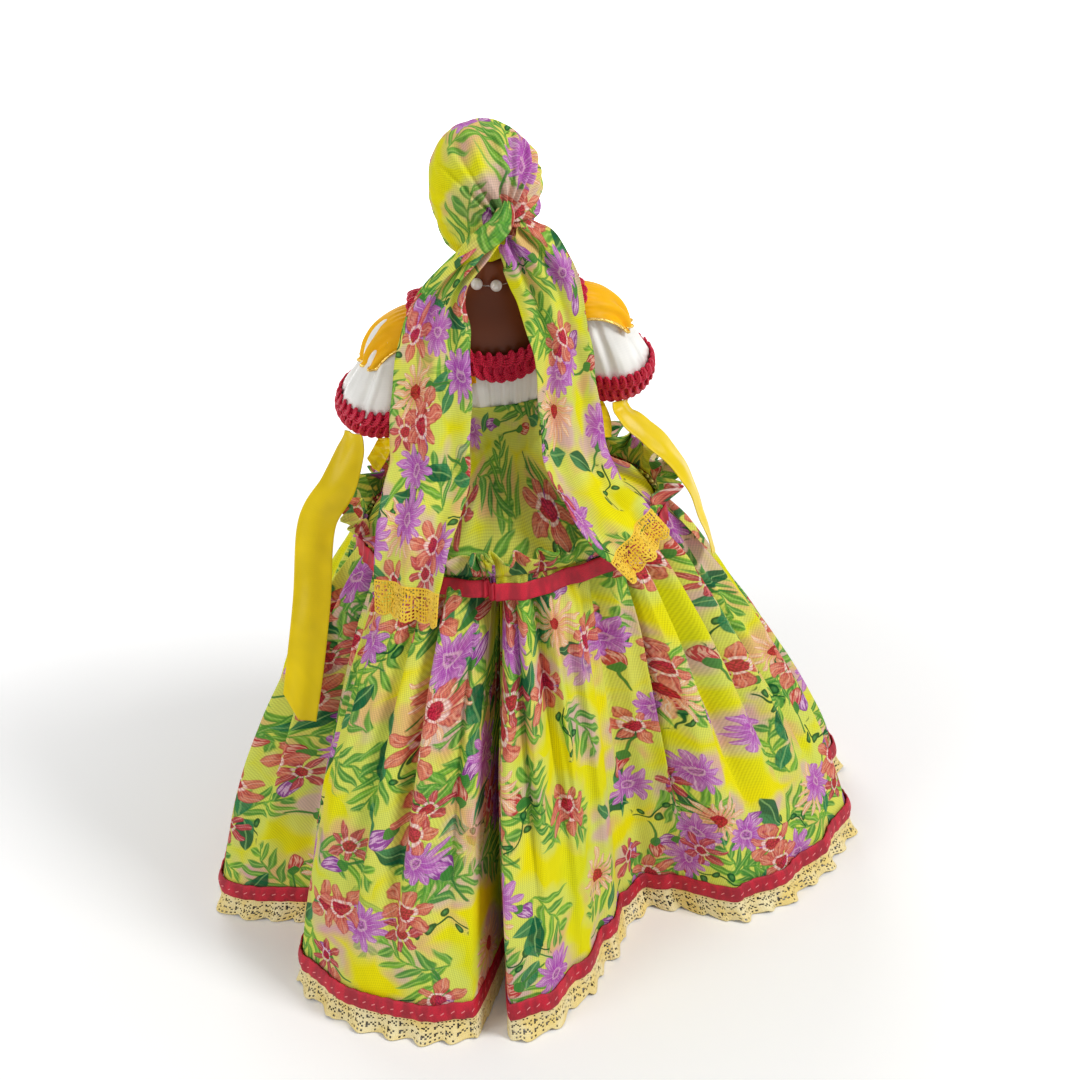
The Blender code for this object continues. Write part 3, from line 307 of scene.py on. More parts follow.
def flower_group(name, petals, radius, fullness, tip, inner, middle, rim, vein, disc, disc_radius,
                 ring):
    """One round flower: petals with a vein, darker rims, an eye and a pale ring round it."""
    group, n, given, give = new_group(name, "Local Random", "Mask Paint Halo")
    wobble = n.vector("SUBTRACT", n.noise(given["Local"], 0.28, 1.0, 1), HALF)
    wobble = n.vector("MULTIPLY", wobble, (2.2, 2.2, 0.0))
    local = n.vector("ADD", given["Local"], wobble)
    x, y, _ = n.parts(local)
    away = n.away(x, y)
    share = away / radius
    turn = n.math("ARCTAN2", y, x) * (petals / TURN)
    petal = n.math("FLOOR", turn)
    across = abs(turn - petal - 0.5)
    uneven = n.whim(petal + n.parts(given["Random"])[0])
    length = uneven * 0.3 + 0.72
    along = share / length
    swell = n.sin(n.min(along, 1.0) ** tip * pi)
    width = n.max(swell, 0.0) ** 0.6 * fullness
    inside = width - across
    mask = n.step(inside, -0.01, 0.07)
    mask = mask * n.fade(along, 0.94, 1.0)
    paint = n.blend(n.step(along, 0.25, 0.62), inner, middle)
    streak = n.noise(n.join(turn * 9.0, away * 0.35), 1.0)
    paint = n.blend(n.step(streak, 0.42, 0.70, 0.0, 0.80), paint, rim)
    light = n.noise(n.join(turn * 7.0 + 40.0, away * 0.3), 1.0)
    paint = n.blend(n.step(light, 0.52, 0.72, 0.0, 0.60), paint, vein)
    paint = n.blend(n.fade(inside, 0.02, 0.13, 0.75), paint, rim)
    paint = n.blend(n.fade(across, 0.005, 0.05, 0.7), paint, vein)
    eye = n.fade(share, disc_radius * 0.86, disc_radius)
    spots = n.noise(local, 1.6, 0.0)
    shade = n.blend(n.step(spots, 0.40, 0.60), disc, tuple(v * 0.5 for v in disc))
    around = abs(share - disc_radius * 1.12)
    dashes = n.sin(turn * 18.0) * 0.25 + 0.75
    circle = n.fade(around, 0.02, 0.07, ring) * dashes
    paint = n.blend(circle, paint, colour(250, 225, 215))
    paint = n.blend(eye, paint, shade)
    give("Mask", n.max(mask, eye))
    give("Paint", paint)
    give("Halo", n.fade(share, 0.75, 1.35))
    return group


star = flower_group("Star flower", 6, 10.0, 0.47, 0.72, colour(204, 58, 62),
                    colour(224, 128, 104), colour(168, 30, 56), colour(240, 176, 150),
                    colour(206, 46, 72), 0.27, 1.0)
dark_star = flower_group("Dark star flower", 7, 8.6, 0.42, 0.66, colour(170, 40, 66),
                         colour(206, 84, 84), colour(132, 24, 62), colour(232, 150, 150),
                         colour(196, 40, 66), 0.24, 0.9)
aster = flower_group("Aster", 11, 9.6, 0.62, 0.58, colour(176, 62, 176),
                     colour(200, 124, 196), colour(160, 70, 166), colour(236, 200, 228),
                     colour(196, 110, 190), 0.15, 0.5)
daisy = flower_group("Daisy", 14, 11.6, 0.44, 0.66, colour(226, 150, 106),
                     colour(240, 196, 150), colour(220, 140, 104), colour(252, 240, 224),
                     colour(200, 34, 52), 0.22, 0.0)
print("flower nodes:", len(star.nodes))

# %% [markdown]
# Leaves, buds and berries aren't round. Each is drawn along its own x axis: how far along the
# shape, how wide it is there, and which side of that width we are on.

# %% Leaves, buds and berries


def sprig_group(name, draw):
    group, n, given, give = new_group(name, "Local Random", "Mask Paint Halo")
    x, y, _ = n.parts(given["Local"])
    mask, paint, halo = draw(n, x, y, given)
    give("Mask", mask)
    give("Paint", paint)
    give("Halo", halo)
    return group


def lens(n, x, y, start, length, width, power=0.7):
    """How far inside a pointed oval that starts at x = start, above 0 inside."""
    along = (x - start) / length
    along = n.min(n.max(along, 0.0), 1.0)
    swell = n.sin(along * pi) ** power
    return swell * width - abs(y)


def draw_spray(n, x, y, given):
    """A curved stalk with a few long slanting leaves, each a little different."""
    bent = y + x * x * 0.02
    side = abs(bent)
    sign = n.math("SIGN", bent)
    along = n.min(n.max((x + 12.0) / 25.0, 0.0), 1.0)
    curl = side * side * 0.035
    slant = x - side * 0.8 - curl
    slant = slant / 5.6 + sign * 0.25
    pair = n.math("FLOOR", slant)
    odd = n.whim(sign * 0.31 + pair + n.parts(given["Random"])[0])
    swell = n.sin(along * 2.7 + 0.25) ** 0.7
    reach = swell * 10.5 * (odd * 0.55 + 0.55)
    out = n.min(side / n.max(reach, 0.01), 1.0)
    blade = n.sin(out * 2.75 + 0.39) ** 0.9 * 0.4
    blade = blade * n.math("LESS_THAN", out, 0.995)
    leaf = abs(slant - pair - 0.5)
    inside = blade - leaf
    stalk = n.fade(side, 0.2, 0.65)
    ends = n.step(x, -12.0, -11.0) * n.fade(x, 11.0, 12.5)
    mask = n.max(n.step(inside, -0.02, 0.12), stalk) * ends
    streak = n.noise(n.join(slant * 5.0, side * 0.22), 1.0)
    paint = n.blend(odd, colour(74, 144, 68), colour(132, 190, 58))
    paint = n.blend(n.step(streak, 0.42, 0.62, 0.0, 0.7), paint, colour(50, 122, 54))
    paint = n.blend(n.fade(leaf, 0.02, 0.1, 0.5), paint, colour(176, 214, 110))
    oval = (x / 16.0) ** 2.0 + (bent / 10.0) ** 2.0
    return mask, paint, n.fade(oval, 0.4, 1.2)


def draw_leaves(n, x, y, given):
    """Two broad pointed leaves, with a pale midrib and a dark side."""
    curved = y + x * x * 0.022
    first = lens(n, x, curved, 0.5, 14.0, 3.4, 0.9)
    across = x * -0.75 + y * 0.66
    upward = x * 0.66 + y * 0.75
    second = lens(n, across, upward, 0.5, 10.5, 2.6, 0.9)
    mask = n.step(n.max(first, second), -0.05, 0.45)
    streak = n.noise(n.join(x * 0.16, y * 1.1), 1.0)
    paint = n.blend(n.step(y, -0.8, 0.8), colour(24, 96, 62), colour(58, 132, 84))
    paint = n.blend(n.step(streak, 0.46, 0.66, 0.0, 0.6), paint, colour(16, 78, 48))
    rib = n.min(abs(curved), abs(upward))
    paint = n.blend(n.fade(rib, 0.05, 0.4, 0.6), paint, colour(150, 196, 120))
    away = n.away(x, y)
    return mask, paint, n.fade(away, 9.0, 15.0)


def bud_drawer(outer, streak_colour):
    def draw(n, x, y, given):
        """A closed bud on a bent stalk: streaked petals above a green cup."""
        bent = y + x * x * 0.02
        bud = lens(n, x, y, 0.0, 8.6, 2.7, 0.62)
        cup = lens(n, x, y, -1.4, 4.8, 2.0, 0.9)
        stalk = n.fade(abs(bent), 0.25, 0.6) * (n.step(x, -9.0, -8.0) * n.fade(x, 0.0, 0.6))
        lines = n.noise(n.join(x * 0.25, y * 1.5), 1.0)
        paint = n.blend(n.step(lines, 0.46, 0.60), outer, streak_colour)
        paint = n.blend(n.fade(bud, 0.1, 0.8, 0.7), paint, tuple((v * 0.45 for v in outer)))
        green = n.max(n.step(cup, 0.0, 0.25), stalk)
        paint = n.blend(green, paint, colour(66, 132, 58))
        mask = n.max(n.step(bud, 0.0, 0.25), green)
        away = n.away(x, y)
        return mask, paint, n.fade(away, 6.5, 11.0)
    return draw


def draw_berries(n, x, y, given):
    """A thin forked stalk with round dark berries."""
    wave = n.sin(x * 0.45) * 1.6
    bent = y - wave
    stalk = n.fade(abs(bent), 0.18, 0.45)
    cell = n.math("FRACT", x / 4.2) - 0.5
    side = n.math("SIGN", n.sin(n.math("FLOOR", x / 4.2) * (pi / 2)))
    place = bent - side * 2.0
    round_ = n.math("SQRT", (cell * 4.2) ** 2.0 + place * place)
    berry = n.fade(round_, 1.25, 1.55)
    short = n.fade(abs(x), 9.0, 10.0)
    mask = n.max(stalk, berry) * short
    paint = n.blend(n.step(round_, 0.2, 1.0), colour(74, 140, 74), colour(20, 84, 44))
    return mask, paint, n.fade(abs(bent), 1.0, 4.5, 0.6) * short


spray = sprig_group("Spray", draw_spray)
leaves = sprig_group("Leaves", draw_leaves)
red_bud = sprig_group("Red bud", bud_drawer(colour(196, 58, 66), colour(238, 176, 156)))
violet_bud = sprig_group("Violet bud", bud_drawer(colour(150, 60, 158), colour(222, 176, 216)))
berries = sprig_group("Berries", draw_berries)

# %% [markdown]
# Now the print is laid in layers, from the sprays at the back to the big flowers in front, as a
# textile artist overlaps motifs. Each layer has its own square size, turn and seed, so no grid
# shows. A slow noise gathers the motifs in bunches and leaves clear yellow between them.

# %% Lay the print

PRINT_LAYERS = (
    # motif, square in mm, turn, seed, jitter, share of places kept, how much it keeps to bunches
    (spray, 30.0, 0.30, 3.0, 0.20, 0.85, 0.5),
    (spray, 34.0, 1.10, 17.0, 0.25, 0.80, 0.7),
    (spray, 28.0, 2.20, 41.0, 0.20, 0.45, 1.0),
    (berries, 34.0, 0.75, 29.0, 0.30, 0.60, 0.0),
    (leaves, 29.0, 1.70, 53.0, 0.25, 0.45, 0.6),
    (leaves, 37.0, 0.15, 67.0, 0.30, 0.50, 0.3),
    (violet_bud, 24.0, 2.60, 71.0, 0.30, 0.55, 0.9),
    (red_bud, 26.0, 0.55, 83.0, 0.30, 0.60, 0.9),
    (daisy, 47.0, 1.35, 97.0, 0.50, 0.70, 0.5),
    (aster, 31.0, 0.90, 101.0, 0.35, 0.62, 0.9),
    (aster, 40.0, 2.05, 113.0, 0.40, 0.60, 0.5),
    (dark_star, 33.0, 2.80, 151.0, 0.40, 0.38, 1.0),
    (star, 32.0, 0.20, 127.0, 0.35, 0.55, 0.9),
    (star, 43.0, 1.50, 139.0, 0.45, 0.60, 0.4),
)


PRINT_SCALE = 1 / 1.32


def print_group():
    group, n, given, give = new_group("Flower print", "Cloth", "Paint")
    cloth = n.vector("MULTIPLY", given["Cloth"], (PRINT_SCALE, PRINT_SCALE, 1.0))
    patches = n.noise(cloth, 26.0, 2.0)
    ground = n.blend(n.step(patches, 0.35, 0.65), colour(238, 226, 14), colour(222, 222, 30))
    bend = n.vector("SUBTRACT", n.noise(cloth, 110.0, 1.0, 1), HALF)
    cloth = n.vector("ADD", cloth, n.vector("MULTIPLY", bend, (0.0045, 0.0045, 0.0)))
    halo = None
    drawn = []
    for motif, size, turn, seed, jitter, keep, bunching in PRINT_LAYERS:
        place = n.add("ShaderNodeGroup", {"Cloth": cloth, "Size": size, "Turn": turn, "Seed": seed,
                                          "Jitter": jitter, "Spin": TURN}, node_tree=scatter)
        random = place["Random"]
        shape = n.add("ShaderNodeGroup", {"Local": place["Local"], "Random": random},
                      node_tree=motif)
        gathered = n.step(place["Bunch"], 0.38, 0.60, 1.0 - bunching * 0.9, 1.0 + bunching * 0.5)
        odds = gathered * keep
        there = n.step(odds - n.parts(random)[1], 0.0, 0.02)
        mask = shape["Mask"] * (there * 0.94)
        near = shape["Halo"] * there
        halo = near if halo is None else n.max(halo, near)
        drawn.append((mask, shape["Paint"]))
    paint = n.blend(halo * 0.5, ground, colour(206, 222, 132))
    clouds = n.noise(cloth, 55.0, 2.0, 1)
    for part, paint_over in zip(n.parts(clouds), (colour(230, 156, 132), colour(214, 150, 196))):
        haze = halo * n.step(part, 0.52, 0.66, 0.0, 0.6)
        paint = n.blend(haze, paint, paint_over)
    for mask, motif_paint in drawn:
        paint = n.blend(mask, paint, motif_paint)
    give("Paint", paint)
    return group


flower_print = print_group()
print("print layers:", len(PRINT_LAYERS))

# %% [markdown]
# ## Fabrics
# Under the print lies a plain weave: warp and weft pass over and under a little closer than a
# millimetre, which we draw as two crossed waves in the bumps, and in the colour as painted shade
# where the threads dip. The cloth's own UV map is measured in metres of cloth, so every pattern
# has its real size on every piece.

# %% Printed cotton


def cloth_map(n):
    return n.node("ShaderNodeUVMap", uv_map="Cloth")


def weave(n, cloth, pitch):
    """Crossed waves for warp and weft, from 0 to 1."""
    x, y, _ = n.parts(cloth)
    warp = n.sin(x * (TURN / pitch))
    weft = n.sin(y * (TURN / pitch))
    return (warp + weft) * 0.25 + 0.5


def make_cotton():
    made, shader, n = new_material("printed cotton", "print_cotton", 0.85, Specular_IOR_Level=0.06)
    cloth = cloth_map(n)
    slub = n.vector("MULTIPLY", cloth, (1.0, 0.06, 0.0))
    uneven = n.noise(slub, 900.0, 1.0)
    print_paint = n.node("ShaderNodeGroup", {"Cloth": cloth}, node_tree=flower_print)
    threads = weave(n, cloth, 0.00085)
    # Painted shade: the cloth is darker where the weave's threads dip; the slub noise is the yarn's
    # own uneven tone.
    shade = threads * 0.34 + 0.8
    shade = shade * (uneven * 0.1 + 0.94)
    base = n.blend(1.0, print_paint, n.join(shade, shade, shade), "MULTIPLY")
    finish_material(n, shader, base, threads, 0.35, 0.00012)
    return made


cotton = make_cotton()

# %% [markdown]
# Satin is smooth across and slightly ribbed along, and it shines. Velvet ribbon has a short pile,
# so its edges catch the light. Gimp is a cord wound with shiny thread, so its bumps slant; its
# colour has a painted highlight on each turn and painted shade between the turns.

# %% Satin, velvet, gimp and lace


def make_satin(name, slot, tone, roughness, gloss, ribs=0.0009):
    made, shader, n = new_material(name, slot, roughness, Specular_IOR_Level=gloss,
                                   Anisotropic=0.4)
    cloth = cloth_map(n)
    _, y, _ = n.parts(cloth)
    lines = n.sin(y * (TURN / ribs)) * 0.5 + 0.5
    patches = n.noise(cloth, 60.0, 2.0)
    dark = tuple(v * 0.86 for v in tone)
    base = n.blend(n.step(patches, 0.3, 0.7), dark, tone)
    base = n.blend(lines * 0.05, base, tuple((v * 0.6 for v in tone)))
    finish_material(n, shader, base, lines, 0.12, 0.00008)
    return made


white_satin = make_satin("white satin", "white_satin", colour(252, 250, 244), 0.26, 0.5)
orange_satin = make_satin("orange satin", "orange_satin", colour(255, 188, 0), 0.50, 0.2)
yellow_satin = make_satin("yellow satin ribbon", "yellow_ribbon", colour(244, 212, 0), 0.34, 0.25)


def make_velvet():
    made, shader, n = new_material("red velvet ribbon", "red_velvet", 0.62,
                                   Sheen_Weight=0.12, Sheen_Roughness=0.35,
                                   Sheen_Tint=(*colour(240, 90, 110), 1.0))
    cloth = cloth_map(n)
    x, y, _ = n.parts(cloth)
    pile = n.noise(n.vector("MULTIPLY", cloth, (1.0, 3.0, 0.0)), 1400.0, 1.0)
    pull = n.noise(n.vector("MULTIPLY", cloth, (1.0, 0.35, 0.0)), 240.0, 2.0)
    base = n.blend(n.step(pull, 0.35, 0.65), colour(160, 4, 34), colour(206, 14, 48))
    base = n.blend(n.step(pile, 0.4, 0.7, 0.0, 0.35), base, colour(110, 2, 24))
    along = n.math("FRACT", x / 0.0042)
    slant = (along - 0.5) * 0.0022 + 0.0037
    dash = n.fade(abs(y - slant), 0.00018, 0.00034)
    dash = dash * n.fade(abs(along - 0.5), 0.14, 0.2)
    base = n.blend(dash * 0.85, base, colour(250, 150, 150))
    height = pull * 2.0 + dash * -2.5
    finish_material(n, shader, base, height, 0.5, 0.0002)
    return made


velvet = make_velvet()


def make_gimp():
    made, shader, n = new_material("crimson gimp", "red_gimp", 0.50, Specular_IOR_Level=0.3)
    cloth = cloth_map(n)
    x, y, _ = n.parts(cloth)
    wound = n.sin(x * (TURN / 0.0007) + y * (TURN / 0.0035))
    wound = wound * 0.5 + 0.5
    # Painted light: brighter crimson on each turn is a painted highlight, darker between turns is
    # painted shade.
    base = n.blend(wound, colour(166, 6, 38), colour(228, 26, 72))
    finish_material(n, shader, base, wound, 0.5, 0.0002)
    return made


gimp = make_gimp()


def make_lace(name, tone, pale):
    made, shader, n = new_material(name, "yellow_lace", 0.80, Sheen_Weight=0.15)
    cloth = cloth_map(n)
    threads = weave(n, cloth, 0.0008)
    patches = n.noise(cloth, 90.0, 2.0)
    base = n.blend(n.step(patches, 0.3, 0.7), tone, pale)
    base = n.blend(threads * 0.25, base, tuple((v * 0.7 for v in tone)))
    finish_material(n, shader, base, threads, 0.5, 0.0002)
    return made


hem_lace_thread = make_lace("cream yellow lace", colour(246, 218, 128), colour(252, 238, 188))
scarf_lace_thread = make_lace("yellow lace", colour(246, 196, 34), colour(252, 216, 70))
print("materials:", len(bpy.data.materials))

# %% [markdown]
# ## Cutting cloth
# Every garment starts as a flat grid, like cloth on a cutting table. Its UV map keeps the flat
# places in metres. Then each point moves to where a small function says the worn cloth lies. A
# grid that closes round the doll has its two side edges merged.

# %% Cut a grid and put it on

MERGE = 0.00001
THIN, MEDIUM, THICK = 0.0004, 0.0005, 0.0007


def new_cloth():
    bm = bmesh.new()
    return bm, bm.loops.layers.uv.new("Cloth")


def lay_grid(bm, uv, columns, rows, place, flat, keep_face=None):
    """Adds a grid and puts it on. place(s, t) is the worn place, flat(s, t) that on the table."""
    made = bmesh.ops.create_grid(bm, x_segments=columns, y_segments=rows, size=0.5)["verts"]
    faces = {face for vert in made for face in vert.link_faces}
    for face in faces:
        for loop in face.loops:
            loop[uv].uv = flat(loop.vert.co.x + 0.5, loop.vert.co.y + 0.5)
    if keep_face is not None:
        middles = [(face, face.calc_center_median()) for face in faces]
        gone = [face for face, co in middles if not keep_face(co.x + 0.5, co.y + 0.5)]
        bmesh.ops.delete(bm, geom=gone, context="FACES")
        made = list(bm.verts)
    for vert in made:
        vert.co = place(vert.co.x + 0.5, vert.co.y + 0.5)


def cut_cloth(name, columns, rows, place, flat, material, body, closed=False, wall=0.0006,
              offset=0.0, node=None, keep_face=None):
    """A sheet of cloth for a CAD node, on a body."""
    bm, uv = new_cloth()
    lay_grid(bm, uv, columns, rows, place, flat, keep_face)
    if closed:
        bmesh.ops.remove_doubles(bm, verts=bm.verts, dist=2 * MERGE)
    return make_piece(name, bm, material, body, wall, offset, node)


def new_object(name, data):
    made = bpy.data.objects.new(name, data)
    bpy.context.scene.collection.objects.link(made)
    return made


def mesh_object(name, bm, material):
    mesh = bpy.data.meshes.new(name)
    bm.to_mesh(mesh)
    bm.free()
    mesh.materials.append(material)
    return new_object(name, mesh)


def make_piece(name, bm, material, body, wall=0.0, offset=0.0, node=None):
    """Turns a bmesh into a smooth piece that rides on a body, with a cloth's thickness."""
    made = mesh_object(name, bm, material)
    made.data.shade_smooth()
    if wall:
        solid = made.modifiers.new("thickness", "SOLIDIFY")
        solid.thickness = wall
        solid.offset = offset
        flatter = made.modifiers.new("flat sides", "WEIGHTED_NORMAL")
        flatter.weight = 100
    if node is not None:
        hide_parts(*((node,) if isinstance(node, str) else node))
    if body is not None:
        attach(made, body)
    return made


def area_of(piece):
    return sum(face.area for face in piece.data.polygons)


def flat_sheet(wide, tall, x=0.0, y=0.0):
    """The place on the table of a plain rectangle of cloth."""
    return lambda s, t: (s * wide + x, t * tall + y)


# %% [markdown]
# ## The skirt
# The real skirt is a straight strip, gathered at the hips and falling in deep folds to the hem.
# The folds follow a short table of ridges and valleys round the hem, as shares of its reach. The
# columns of the grid are spread evenly along the hem's own length, so narrow folds get as many
# points as broad ones.

# %% The skirt's folds

SEAM_Z, HEM_Z, HEM_REACH = 0.1735, 0.0105, 0.150
SEAM_WIDTH, SEAM_DEPTH = 0.0612, 0.0532
CURVE = 1.35
FOLDS = (
    (3, 0.97), (18, 0.72), (32, 0.90), (44, 0.92), (57, 0.90), (66, 0.86), (69.5, 0.58),
    (73, 0.86), (79, 0.83), (87, 0.72), (97, 0.59), (108, 0.49), (118, 0.46), (124, 0.52),
    (131, 0.72), (143, 0.81), (154, 0.88), (165, 0.94), (174, 0.84), (183, 0.97), (191, 0.97),
    (203, 0.80), (214, 0.93), (226, 0.76), (238, 0.87), (250, 0.72), (261, 0.84), (271, 0.74),
    (282, 0.85), (294, 0.72), (306, 0.90), (318, 0.76), (331, 0.93), (345, 0.80), (355, 0.94),
)
SLIT = radians(69.5)
FINE_STEPS = 3600


def hem_share(angle):
    """The hem's reach at an angle, easing between the ridges and valleys."""
    bearing = degrees(angle) % 360
    for index, (start, low) in enumerate(FOLDS):
        last = index + 1 == len(FOLDS)
        end = FOLDS[0][0] + 360 if last else FOLDS[index + 1][0]
        high = FOLDS[0][1] if last else FOLDS[index + 1][1]
        place = bearing + 360 if bearing < FOLDS[0][0] and last else bearing
        if start <= place <= end:
            return mix(low, high, 0.5 - 0.5 * cos(pi * (place - start) / (end - start)))
    return FOLDS[0][1]


def seam_reach(angle, width=SEAM_WIDTH, depth=SEAM_DEPTH):
    return 1.0 / hypot(cos(angle) / width, sin(angle) / depth)


def polar(angle, reach, z):
    return Vector((reach * cos(angle), reach * sin(angle), z))


def even_round(count):
    """Angles spread evenly along the hem, starting at the front."""
    fine = [-pi / 2 + TURN * i / FINE_STEPS for i in range(FINE_STEPS + 1)]
    points = [Vector((cos(a), sin(a))) * hem_share(a) * HEM_REACH for a in fine]
    far = [0.0]
    for first, second in zip(points, points[1:]):
        far.append(far[-1] + (second - first).length)
    angles, index = [], 0
    for k in range(count + 1):
        goal = far[-1] * k / count
        while index < FINE_STEPS - 1 and far[index + 1] < goal:
            index += 1
        share = (goal - far[index]) / (far[index + 1] - far[index])
        angles.append(mix(fine[index], fine[index + 1], share))
    return angles, far[-1]


COLUMNS, SKIRT_ROWS, STRIP_ROWS, HEADING_ROWS = 560, 56, 6, 10
ROUND, HEM_LENGTH = even_round(COLUMNS)


def angle_at(s, angles=ROUND):
    return angles[round(s * (len(angles) - 1))]


print(f"the hem is {HEM_LENGTH * 1000:.0f} mm long along its folds")


def fold_wave(s, count, drift, seed):
    """An uneven wave round the cloth that meets itself after one turn."""
    a = TURN * s
    wander = ripple(cos(a) * drift, sin(a) * drift, seed)
    return sin(count * a + 4.0 * wander)


def gathers(s):
    """Round tubes of cloth with sharp valleys, about 14 mm apart under the band."""
    a = TURN * s
    wander = ripple(cos(a) * 2.5, sin(a) * 2.5, 17.0)
    size = 0.75 + 0.5 * ripple(cos(a) * 5.0, sin(a) * 5.0, 19.0)
    return size * (abs(sin(15.0 * a + 5.0 * wander)) ** 0.6 - 0.72)


def skirt_place(s, share, lift=0.0):
    """A point of the skirt: s round it, share from the seam, 0, to the hem, 1."""
    angle = angle_at(s)
    z = mix(SEAM_Z, HEM_Z, share)
    spread = 1.0 - (1.0 - min(share, 1.0)) ** CURVE
    reach = mix(seam_reach(angle), hem_share(angle) * HEM_REACH, spread)
    fade = (1.0 - min(share, 1.0))
    fine = 0.5 + 0.5 * fold_wave(s, 96, 3.0, 1.0)
    middle = 0.5 + 0.5 * fold_wave(s, 41, 2.0, 5.0)
    reach += 0.0016 * fine * fade ** 1.5
    grow = smooth(0.03, 0.25, share) * (1.0 - smooth(0.55, 1.0, share))
    reach += 0.0030 * (middle - 0.35) * grow
    hang = smooth(-0.01, 0.10, share) * (1.0 - smooth(0.35, 1.0, share))
    reach += 0.0165 * gathers(s) * hang
    reach += 0.0012 * (fine - 0.5) * grow
    gap = (angle - SLIT) / mix(0.115, 0.035, smooth(0.0, 0.5, share))
    reach -= 0.026 * exp(-gap * gap) * smooth(0.02, 0.08, share) * (
        1.0 - smooth(0.30, 0.75, share))
    crease = ripple(9.0 * cos(angle) * reach / 0.1, 9.0 * sin(angle) * reach / 0.1,
                    share * 5.0)
    reach += 0.0007 * crease * smooth(0.05, 0.3, share)
    reach += lift
    return polar(angle, reach, z)


# %% [markdown]
# On the table the skirt is cut as part of a ring, so that the print keeps its size from the
# gathered top to the wide hem, as it seems to do on the doll.

# %% Make the skirt

FAN = 2.37
FAN_REACH = HEM_LENGTH / FAN


def skirt_flat(s, t):
    reach = FAN_REACH - 0.190 * t
    turn = FAN * (s - 0.5)
    return (reach * sin(turn), -reach * cos(turn))


skirt = cut_cloth("skirt_cloth", COLUMNS, SKIRT_ROWS,
                  lambda s, t: skirt_place(s, 1.0 - t), skirt_flat, cotton, "torso",
                  closed=True, wall=0.0006, offset=-1.0, node="skirt")
print(f"skirt: {area_of(skirt) * 10000:.0f} square centimetres of cloth")

# %% [markdown]
# The ruffle above the band is the skirt's own heading: the cloth is gathered twelve millimetres
# below its folded top edge, so that edge stands up and ripples.

# %% The ruffled heading


def frill_place(s, t):
    angle = angle_at(s)
    fine = fold_wave(s, 44, 3.0, 2.0)
    wide = fold_wave(s, 19, 1.5, 7.0)
    reach = seam_reach(angle) + 0.0016
    lean = 0.0052 + 0.0042 * fine + 0.0022 * wide + 0.0024 * ripple(s * 130, t * 2.0)
    reach += lean * t ** 1.2
    z = SEAM_Z + 0.0004 + 0.0112 * t + 0.0016 * t * wide + 0.0014 * t * ripple(s * 90, 3.0)
    shift = 0.030 * fold_wave(s, 44, 3.0, 12.0) * t
    return polar(angle + shift, reach, z)


frill = cut_cloth("skirt_heading", COLUMNS, HEADING_ROWS, frill_place,
                  lambda s, t: skirt_flat(s, 1.02 + 0.065 * t), cotton, "torso", closed=True,
                  wall=THICK, node="skirt_frill")

# %% [markdown]
# Velvet ribbon covers the gathers at the hips and finishes the hem. Both are strips that lie a
# little outside the cloth. The one at the hips is pulled straight, so it bridges the gathers.

# %% Ribbon at the hips and the hem


def band_place(s, t):
    angle = angle_at(s)
    reach = seam_reach(angle) + 0.0032
    reach += (1.0 - t) * 0.0016
    reach += 0.0004 * fold_wave(s, 37, 2.0, 3.0)
    lapped = smooth(-0.004, 0.004, angle - SLIT) * (1.0 - smooth(0.25, 0.60, angle - SLIT))
    reach += 0.0012 * lapped
    z = mix(SEAM_Z - 0.0070, SEAM_Z - 0.0001, t) + 0.0004 * fold_wave(s, 9, 1.0, 4.0)
    z -= 0.0014 * lapped
    return polar(angle, reach, z)


band = cut_cloth("hip_ribbon", COLUMNS, STRIP_ROWS, band_place,
                 flat_sheet(0.42, 0.007, 0.0, 0.02), velvet, "torso", closed=True,
                 wall=THICK, node="skirt_band")


def hem_ribbon_place(s, t):
    share = 1.0 - 0.046 * t
    puff = 0.0013 + 0.0005 * sin(pi * t)
    puff += 0.00025 * fold_wave(s, 190, 4.0, 8.0)
    place = skirt_place(s, share, puff)
    place.z += 0.0002 * fold_wave(s, 120, 3.0, 6.0)
    return place


hem_ribbon = cut_cloth("hem_ribbon_strip", COLUMNS, STRIP_ROWS, hem_ribbon_place,
                       flat_sheet(HEM_LENGTH, 0.0075), velvet, "torso", closed=True,
                       wall=THICK, node="hem_ribbon")

# %% [markdown]
# ## Lace
# Lace is holes held together by thread. Painted holes look flat, so we cut real ones: cells of a
# fine grid are removed in rows, with some kept at random, and the lower edge is scalloped.

# %% Lace round the hem

LACE_COLUMNS, LACE_ROWS = 1320, 13
LACE_TALL, SCALLOPS = 0.010, 84
LACE_ROUND, _ = even_round(LACE_COLUMNS)


def hem_lace_place(s, t):
    angle = angle_at(s, LACE_ROUND)
    scallop = abs(sin(pi * s * SCALLOPS))
    depth = mix(0.0086, 0.0104, scallop ** 0.6)
    reach = hem_share(angle) * HEM_REACH + 0.0008 + 0.0030 * (1.0 - t) ** 2
    reach += 0.0016 * (1.0 - t) * fold_wave(s, SCALLOPS, 3.0, 9.0)
    z = HEM_Z - 0.0003 - depth * (1.0 - t)
    jitter = 0.00022 * ripple(s * 1400, t * LACE_ROWS)
    return polar(angle, reach, max(z + jitter, 0.0002))


def hem_lace_face(s, t):
    column, row = int(s * LACE_COLUMNS), int(t * LACE_ROWS)
    if row in (0, LACE_ROWS - 1):
        return True
    if row in (4, 8) and column % 6 in (1, 2, 4):
        return False
    return not (column % 2 == 1 and row % 2 == 1 and ripple(column * 0.37, row * 1.7) > -0.08)


hem_lace = cut_cloth("hem_lace_net", LACE_COLUMNS, LACE_ROWS, hem_lace_place,
                     flat_sheet(HEM_LENGTH, LACE_TALL), hem_lace_thread, "torso",
                     closed=True, wall=MEDIUM, node="hem_lace", keep_face=hem_lace_face)

# %% [markdown]
# ## The body under the clothes
# The clothes need to know the body's shape. The trunk and the head are stacks of ovals, so a
# table of heights and half sizes, as shares of the measured doll, gives any point on the skin.

# %% Points on the trunk and the head

